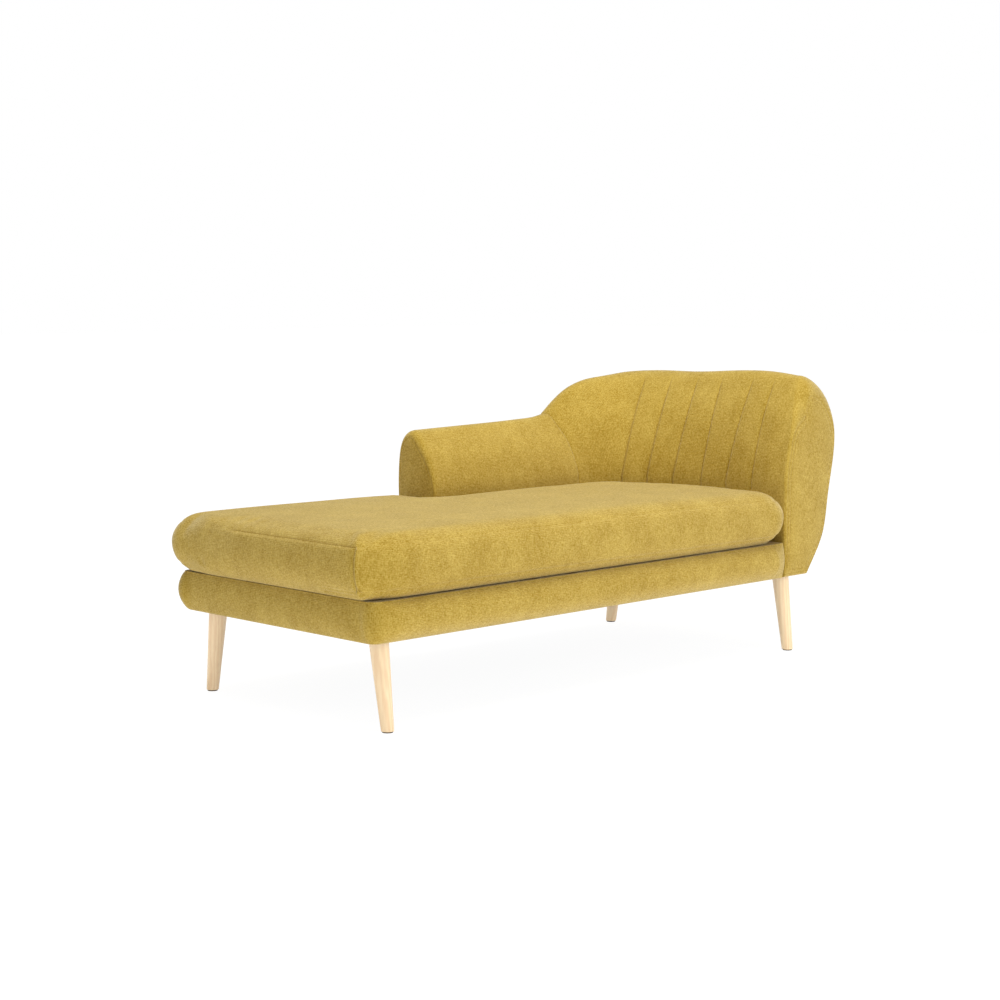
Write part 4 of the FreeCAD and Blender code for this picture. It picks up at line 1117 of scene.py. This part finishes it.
def inflated(thing, held, cap):
    """Swells the mesh under air pressure as cloth. Held gives each point's pinning from 0 to 1."""
    before = coordinates(thing)
    pins = thing.vertex_groups.new(name="pins")
    for index in np.nonzero(held > LEAST_PIN)[0]:
        pins.add([int(index)], float(held[index]), "REPLACE")
    cloth = thing.modifiers.new("Cloth", "CLOTH")
    for key, value in CLOTH.items():
        setattr(cloth.settings, key, value)
    cloth.settings.effector_weights.gravity = 0
    cloth.settings.vertex_group_mass = "pins"
    cloth.point_cache.frame_start = 1
    cloth.point_cache.frame_end = SIM_FRAMES
    for number in range(1, SIM_FRAMES + 1):
        scene.frame_set(number)
    graph = bpy.context.evaluated_depsgraph_get()
    flat = np.empty(len(before) * 3)
    thing.evaluated_get(graph).data.vertices.foreach_get("co", flat)
    move = flat.reshape(-1, 3) - before
    length = np.linalg.norm(move, axis=1, keepdims=True)
    move *= np.tanh(length / cap) * cap / np.maximum(length, TINY)
    thing.modifiers.clear()
    thing.vertex_groups.clear()
    scene.frame_set(1)
    place_points(thing, before + move)


FOOT_SEAM_TOP, FOOT_SEAM_LOW = 0.411, 0.306
SEAM_BAND, PULL_WIDE, SIDE_SEAM_IN = 30 * MM, 4 * MM, 9 * MM
# Where the top seam has faded out, over what length, and where its stitches end.
FADE_AT, FADE_LONG, STITCHES_END = 0.20, 0.14, 0.10


def seam_pull(points):
    """How strongly each point is drawn in by the sewn edges of the foot panel, from 0 to 1."""
    near_foot = points[:, 0] < CUSHION_LOW.x + SEAM_BAND
    in_y = points[:, 1] > CORNER_SEAM_Y - PULL_WIDE
    far_fade = np.clip((FADE_AT - points[:, 1]) / FADE_LONG, 0, 1)
    top = np.exp(-((points[:, 2] - FOOT_SEAM_TOP) / PULL_WIDE) ** 2) * in_y * far_fade
    inside = (points[:, 2] < FOOT_SEAM_TOP) & (points[:, 2] > FOOT_SEAM_LOW)
    side = np.exp(-((points[:, 1] - CORNER_SEAM_Y - SIDE_SEAM_IN) / PULL_WIDE) ** 2) * inside
    return np.maximum(top, side) * near_foot


SEAM_SINK = 3.2 * MM
PIN_HEIGHT = 8 * MM
UPPER_FADE = 40 * MM
# Small slanting gathers over the lower edge of the front side, beside the near corner.
GATHERS = {"height": 12 * MM, "spread": 9 * MM, "start": 20 * MM, "fade": 80 * MM, "slant": 0.5,
           "pitch": 13 * MM, "deep": 2.6 * MM, "front": -0.2}


def seat_cushion():
    """The loose cushion: a crowned form swollen as cloth, with the foot panel's sewn edges."""
    line, names = cushion_outline()
    rounding = side_rounding(line, names)
    bottom, top = CUSHION_LOW.z, CUSHION_HIGH.z - TOP_SLACK
    thing = slab(line, bottom, top, CUSHION_VOXEL)
    points = cushion_shape(coordinates(thing), line, rounding, CUSHION_MIDDLE, top, bottom)
    place_points(thing, points)
    under = np.clip((bottom + PIN_HEIGHT - points[:, 2]) / PIN_HEIGHT, 0, 1)
    inflated(thing, np.maximum(under, seam_pull(points)), SIM_CAP)
    thing.modifiers.new("Subdivision", "SUBSURF").levels = 1
    applied(thing)
    points = coordinates(thing)
    normals = np.empty(len(points) * 3)
    thing.data.vertices.foreach_get("normal", normals)
    normals = normals.reshape(-1, 3)
    points = points - normals * (seam_pull(points) * SEAM_SINK)[:, None]
    upper = np.clip((points[:, 2] - CUSHION_MIDDLE) / UPPER_FADE, 0, 1)
    points += normals * (uneven(points, "cushion") * upper)[:, None]
    g, from_corner, height = GATHERS, points[:, 0] - CUSHION_LOW.x, points[:, 2] - CUSHION_LOW.z
    gathers = np.exp(-((height - g["height"]) / g["spread"]) ** 2)
    gathers *= np.clip(from_corner / g["start"], 0, 1) * np.exp(-from_corner / g["fade"])
    gathers *= points[:, 1] < g["front"]
    slant = (points[:, 0] - g["slant"] * height) / g["pitch"] * 2 * math.pi
    points += normals * (gathers * np.sin(slant) * g["deep"])[:, None]
    points[:, 2] = np.maximum(points[:, 2], DECK_TOP + SKIN_GAP)
    points[:, 1] = np.minimum(points[:, 1], REAR_SIDE)
    place_points(thing, points)
    thing.name = thing.data.name = "seat_cushion"
    thing.data.materials.clear()
    thing.data.materials.append(cover)
    thing.data.polygons.foreach_set("use_smooth", [True] * len(thing.data.polygons))
    return settle(thing, "cushion",
                  ("cushion_cover", "cushion_wadding", "cushion_foam"))


# Sewing, staples and the zip

DASH_SIDES = 6
# Along each dash: where its rings lie, and how wide they are.
DASH_PLACES, DASH_WIDTHS = (0, 0.12, 0.88, 1), (0.4, 1, 1, 0.4)
ASKEW = (0.31, 0.57, 0.76)


# Length, gap and radius of each kind of dash.
PANEL_STITCH = (3.6 * MM, 1.4 * MM, 0.4 * MM)
CHANNEL_STITCH = (3.8 * MM, 0.8 * MM, 0.5 * MM)
CUSHION_STITCH = (3.8 * MM, 0.8 * MM, 0.6 * MM)
STAPLE = (10 * MM, 42 * MM, 0.45 * MM)
STAPLE_INSET, STAPLE_DROP = 14 * MM, 0.9 * MM
PANEL_STITCH_TOP, PANEL_STITCH_FOOT, PANEL_STITCH_LIFT = BACK_TOP - 45 * MM, FLOOR_GAP + 4 * MM, 0.1 * MM
# Rows of the end panel that carry its topstitching.
PANEL_STITCH_ROWS = (1, 10)
SIDE_SEAM_START = FOOT_SEAM_LOW + 8 * MM
SIDE_SEAM_POINTS, TOP_SEAM_POINTS = 30, 90
OUTSIDE = 0.1


def dashes(name, lines, size, material):
    """Short thread or wire lengths laid along lines of points."""
    long, gap, radius = size
    points, faces, sides = [], [], DASH_SIDES
    ring = [(math.cos(2 * math.pi * k / sides), math.sin(2 * math.pi * k / sides)) for k in range(sides)]
    for line in lines:
        line = np.asarray(line)
        travelled = along(line)
        for start in np.arange(gap / 2, travelled[-1] - long, long + gap):
            where = start + long * np.array(DASH_PLACES)
            spots = np.column_stack([np.interp(where, travelled, line[:, k]) for k in range(3)])
            run = (spots[-1] - spots[0]) / max(np.linalg.norm(spots[-1] - spots[0]), TINY)
            first = np.cross(run, ASKEW)
            first /= np.linalg.norm(first)
            second = np.cross(run, first)
            base = len(points)
            for spot, wide in zip(spots, DASH_WIDTHS):
                points.extend(spot + (first * c + second * d) * radius * wide for c, d in ring)
            faces.extend(grid_faces(4, sides, True, base))
            faces.append(tuple(base + k for k in reversed(range(sides))))
            faces.append(tuple(base + 3 * sides + k for k in range(sides)))
    return add_mesh(name, points, faces, material)


def block(low_corner, high_corner):
    """Corner points and faces of a plain block."""
    low_corner, high_corner = np.asarray(low_corner), np.asarray(high_corner)
    points = [np.where([i & 1, i & 2, i & 4], high_corner, low_corner) for i in range(8)]
    return points, [(0, 2, 3, 1), (4, 5, 7, 6), (0, 1, 5, 4), (2, 6, 7, 3), (0, 4, 6, 2), (1, 3, 7, 5)]


TAPE_THICK, TAPE_HALF, TAPE_GAP = 0.9 * MM, 12 * MM, 0.6 * MM
HEM_FROM, HEM_THICK = 11 * MM, 0.3 * MM
TOOTH_MARGIN, TOOTH_PITCH, TOOTH_LONG, TOOTH_SINK = 3 * MM, 1.6 * MM, 0.9 * MM, 0.2 * MM
TOOTH_PAST, TOOTH_OUT = 0.5 * MM, 1.5 * MM
PLATE_NEAR, PLATE_FAR = 1.6 * MM, 2.6 * MM
LIP_NEAR, LIP_FAR, LIP_THICK = 0.2 * MM, 1.7 * MM, 0.8 * MM
LOOP_INSET, LOOP_THICK, LOOP_HALF, LOOP_NEAR, LOOP_DEEP = 3 * MM, 1 * MM, 1 * MM, 2.5 * MM, 0.6 * MM
PULL_NEAR, PULL_FAR = 2.7 * MM, 3.3 * MM
SHAFT_INSET, SHAFT_TOP, SHAFT_LOW = 4.6 * MM, 1.4 * MM, 15 * MM
TAB_INSET, TAB_LOW = 3.4 * MM, 21 * MM
PULL_BEVEL = 0.15 * MM


def zip_pieces():
    """The zip's woven tape with its coil of teeth, and the slider with its pull."""
    middle = (ZIP_LOW.z + ZIP_HIGH.z) / 2
    points, faces = [], []

    def add(low_corner, high_corner):
        made, sides = block(low_corner, high_corner)
        faces.extend(tuple(v + len(points) for v in f) for f in sides)
        points.extend(made)
    face = ZIP_LOW.y + TAPE_THICK
    for side in (-1, 1):
        edges = sorted((middle + side * TAPE_GAP, middle + side * TAPE_HALF))
        add((ZIP_LOW.x, ZIP_LOW.y, edges[0]), (ZIP_HIGH.x, face, edges[1]))
        hem = sorted((middle + side * HEM_FROM, middle + side * TAPE_HALF))
        add((ZIP_LOW.x, face, hem[0]), (ZIP_HIGH.x, face + HEM_THICK, hem[1]))
    tape = add_mesh("zip_tape_cloth", points, faces, zip_cloth, False)
    settle(tape, "cushion", ("zip_tape",))
    points, faces = [], []
    for number, x in enumerate(np.arange(ZIP_LOW.x + TOOTH_MARGIN, ZIP_HIGH.x - TOOTH_MARGIN, TOOTH_PITCH)):
        side = 1 if number % 2 else -1
        edges = sorted((middle - side * TOOTH_PAST, middle + side * TOOTH_OUT))
        add((x, face - TOOTH_SINK, edges[0]), (x + TOOTH_LONG, ZIP_HIGH.y - TOOTH_SINK, edges[1]))
    teeth = add_mesh("zip_teeth", points, faces, zip_coil, False)
    settle(teeth, "cushion")
    points, faces = [], []
    x0, x1, y0, y1 = SLIDER_LOW.x, SLIDER_HIGH.x, SLIDER_LOW.y, SLIDER_HIGH.y
    z0, z1 = SLIDER_LOW.z, SLIDER_HIGH.z
    add((x0, y0 + PLATE_NEAR, z0), (x1, y0 + PLATE_FAR, z1))
    for edge in (z0, z1 - LIP_THICK):
        add((x0, y0 + LIP_NEAR, edge), (x1, y0 + LIP_FAR, edge + LIP_THICK))
    loop_from, loop_to = x0 + LOOP_INSET, x1 - LOOP_INSET
    for left, right, near in ((loop_from, loop_from + LOOP_THICK, y0 + LOOP_NEAR),
                              (loop_to - LOOP_THICK, loop_to, y0 + LOOP_NEAR),
                              (loop_from, loop_to, y1 - LOOP_DEEP)):
        add((left, near, middle - LOOP_HALF), (right, y1, middle + LOOP_HALF))
    for inset, low_z, high_z in ((SHAFT_INSET, -SHAFT_LOW, SHAFT_TOP), (TAB_INSET, -TAB_LOW, -SHAFT_LOW)):
        add((x0 + inset, y0 + PULL_NEAR, middle + low_z), (x1 - inset, y0 + PULL_FAR, middle + high_z))
    slider = add_mesh("zip_pull", points, faces, SLOT_MATERIALS["zip_metal"], False)
    bevel = slider.modifiers.new("Bevel", "BEVEL")
    bevel.width, bevel.segments = PULL_BEVEL, 2
    applied(slider)
    settle(slider, "zip_slider", ("zip_slider",))


back_panel, channel_lines = back_upholstery()
arm_upholstery()
base_upholstery()
deck_pad()
dust_sheet()
cushion_piece = seat_cushion()
zip_pieces()

# Topstitching beside the end panel's seam, from the underside up to where the panel meets the ridge.
seams = []
for row_number in PANEL_STITCH_ROWS:
    row = back_panel[ROLL_ROWS + row_number][:UP_COLUMNS]
    shown = (row[:, 2] < PANEL_STITCH_TOP) & (row[:, 2] > PANEL_STITCH_FOOT)
    seams.append(row[shown] + (0, -PANEL_STITCH_LIFT, 0))
settle(dashes("panel_stitches", seams, PANEL_STITCH, thread), "frame")
settle(dashes("channel_stitches", channel_lines, CHANNEL_STITCH, deep_thread), "frame")
shell = BVHTree.FromPolygons([v.co for v in cushion_piece.data.vertices],
                             [p.vertices for p in cushion_piece.data.polygons])


def on_cushion(y, z):
    """The point of the cushion's foot end at the given side and height."""
    return np.array(shell.ray_cast(Vector((CUSHION_LOW.x - OUTSIDE, y, z)), Vector((1, 0, 0)))[0])


corner_y = CORNER_SEAM_Y + SIDE_SEAM_IN
side_heights = np.linspace(SIDE_SEAM_START, FOOT_SEAM_TOP, SIDE_SEAM_POINTS)
top_places = np.linspace(corner_y, STITCHES_END, TOP_SEAM_POINTS)
foot_seams = [[on_cushion(corner_y, z) for z in side_heights],
              [on_cushion(y, FOOT_SEAM_TOP) for y in top_places]]
settle(dashes("cushion_stitches", foot_seams, CUSHION_STITCH, deep_thread), "cushion")
sheet_x, sheet_y = (BASE_FOOT + STAPLE_INSET, BASE_HEAD - STAPLE_INSET), BASE_HALF - STAPLE_INSET
corners = [(sheet_x[0], -sheet_y), (sheet_x[1], -sheet_y), (sheet_x[1], sheet_y), (sheet_x[0], sheet_y)]
wires = [[(*a, FLOOR_GAP - STAPLE_DROP), (*b, FLOOR_GAP - STAPLE_DROP)]
         for a, b in zip(corners, corners[1:] + corners[:1])]
settle(dashes("sheet_staples", wires, STAPLE, SLOT_MATERIALS["plated_steel"]), "frame")


# Camera, lights and floor

LENS, SENSOR = 72.32, 36
CAMERA_AWAY, CAMERA_HEIGHT = (-3.5004, -3.5168), 0.9609
CAMERA_DIP, CAMERA_TURN = 6.1541, -44.4314
# Each light's place, the point it faces, its size and its power.
LIGHTS = {
    "overhead": ((-0.3, -0.5, 3.4), (0, 0, 0.3), 2.6, 107),
    "front": ((0.9, -4.0, 1.9), (0, 0, 0.35), 2.2, 47),
}
WORLD_LIGHT = 0.46
FLOOR_REACH = 30
# FLOOR_GLOW is painted light: the floor glows for every ray but the camera's, standing in for light bounced
# off the floor onto the piece.
FLOOR_GLOW, FLOOR_SEEN, FLOOR_FAINT = 0.5, 0.94, 0.17
WHITE = (1, 1, 1, 1)


def stand_camera():
    """The camera, 4.9 m away on the front and foot side."""
    data = bpy.data.cameras.new("camera")
    data.lens, data.sensor_width = LENS, SENSOR
    camera = bpy.data.objects.new("camera", data)
    camera.location = (FEET_MIDDLE.x + CAMERA_AWAY[0], FEET_MIDDLE.y + CAMERA_AWAY[1], CAMERA_HEIGHT)
    camera.rotation_euler = (math.radians(90 - CAMERA_DIP), 0, math.radians(CAMERA_TURN))
    scene.collection.objects.link(camera)
    scene.camera = camera


def soft_light(name, place, target, size, power):
    data = bpy.data.lights.new(name, "AREA")
    data.shape, data.size, data.size_y, data.energy = "RECTANGLE", size, size, power
    light = bpy.data.objects.new(name, data)
    light.location = place
    light.rotation_euler = (Vector(target) - Vector(place)).to_track_quat("-Z", "Y").to_euler()
    scene.collection.objects.link(light)


def by_ray(tree, other, seen, output):
    """Shows one shader to the camera and another to all other rays."""
    path, chosen = node(tree, "ShaderNodeLightPath"), node(tree, "ShaderNodeMixShader")
    linked(tree, path, "Is Camera Ray", chosen, 0)
    linked(tree, other, 0, chosen, 1)
    linked(tree, seen, 0, chosen, 2)
    linked(tree, chosen, 0, tree.nodes[output], "Surface")


def studio():
    world = bpy.data.worlds.new("studio")
    world.use_nodes = True
    tree = world.node_tree
    plain = tree.nodes["Background"]
    preset(plain, {"Color": WHITE, "Strength": WORLD_LIGHT})
    by_ray(tree, plain, node(tree, "ShaderNodeBackground", Color=WHITE, Strength=1.0), "World Output")
    scene.world = world
    for name, values in LIGHTS.items():
        soft_light(name, *values)

    mesh = bpy.data.meshes.new("floor")
    r = FLOOR_REACH
    mesh.from_pydata([(-r, -r, 0), (r, -r, 0), (r, r, 0), (-r, r, 0)], [], [(0, 1, 2, 3)])
    floor = bpy.data.objects.new("floor", mesh)
    scene.collection.objects.link(floor)
    material, tree, shader = new_material("floor_white")
    # This emission is a painted glow from below that lights the piece; the camera sees the plain white mix
    # instead.
    preset(shader, {"Base Color": (0.9, 0.9, 0.9, 1), "Roughness": 0.9, "Emission Color": WHITE,
                    "Emission Strength": FLOOR_GLOW})
    glow = node(tree, "ShaderNodeEmission", Strength=FLOOR_SEEN)
    faint = node(tree, "ShaderNodeBsdfDiffuse", Color=(FLOOR_FAINT, FLOOR_FAINT, FLOOR_FAINT, 1))
    both = node(tree, "ShaderNodeAddShader")
    linked(tree, glow, 0, both, 0)
    linked(tree, faint, 0, both, 1)
    by_ray(tree, shader, both, "Material Output")
    mesh.materials.append(material)
    scene.view_settings.view_transform = "Standard"


stand_camera()
studio()
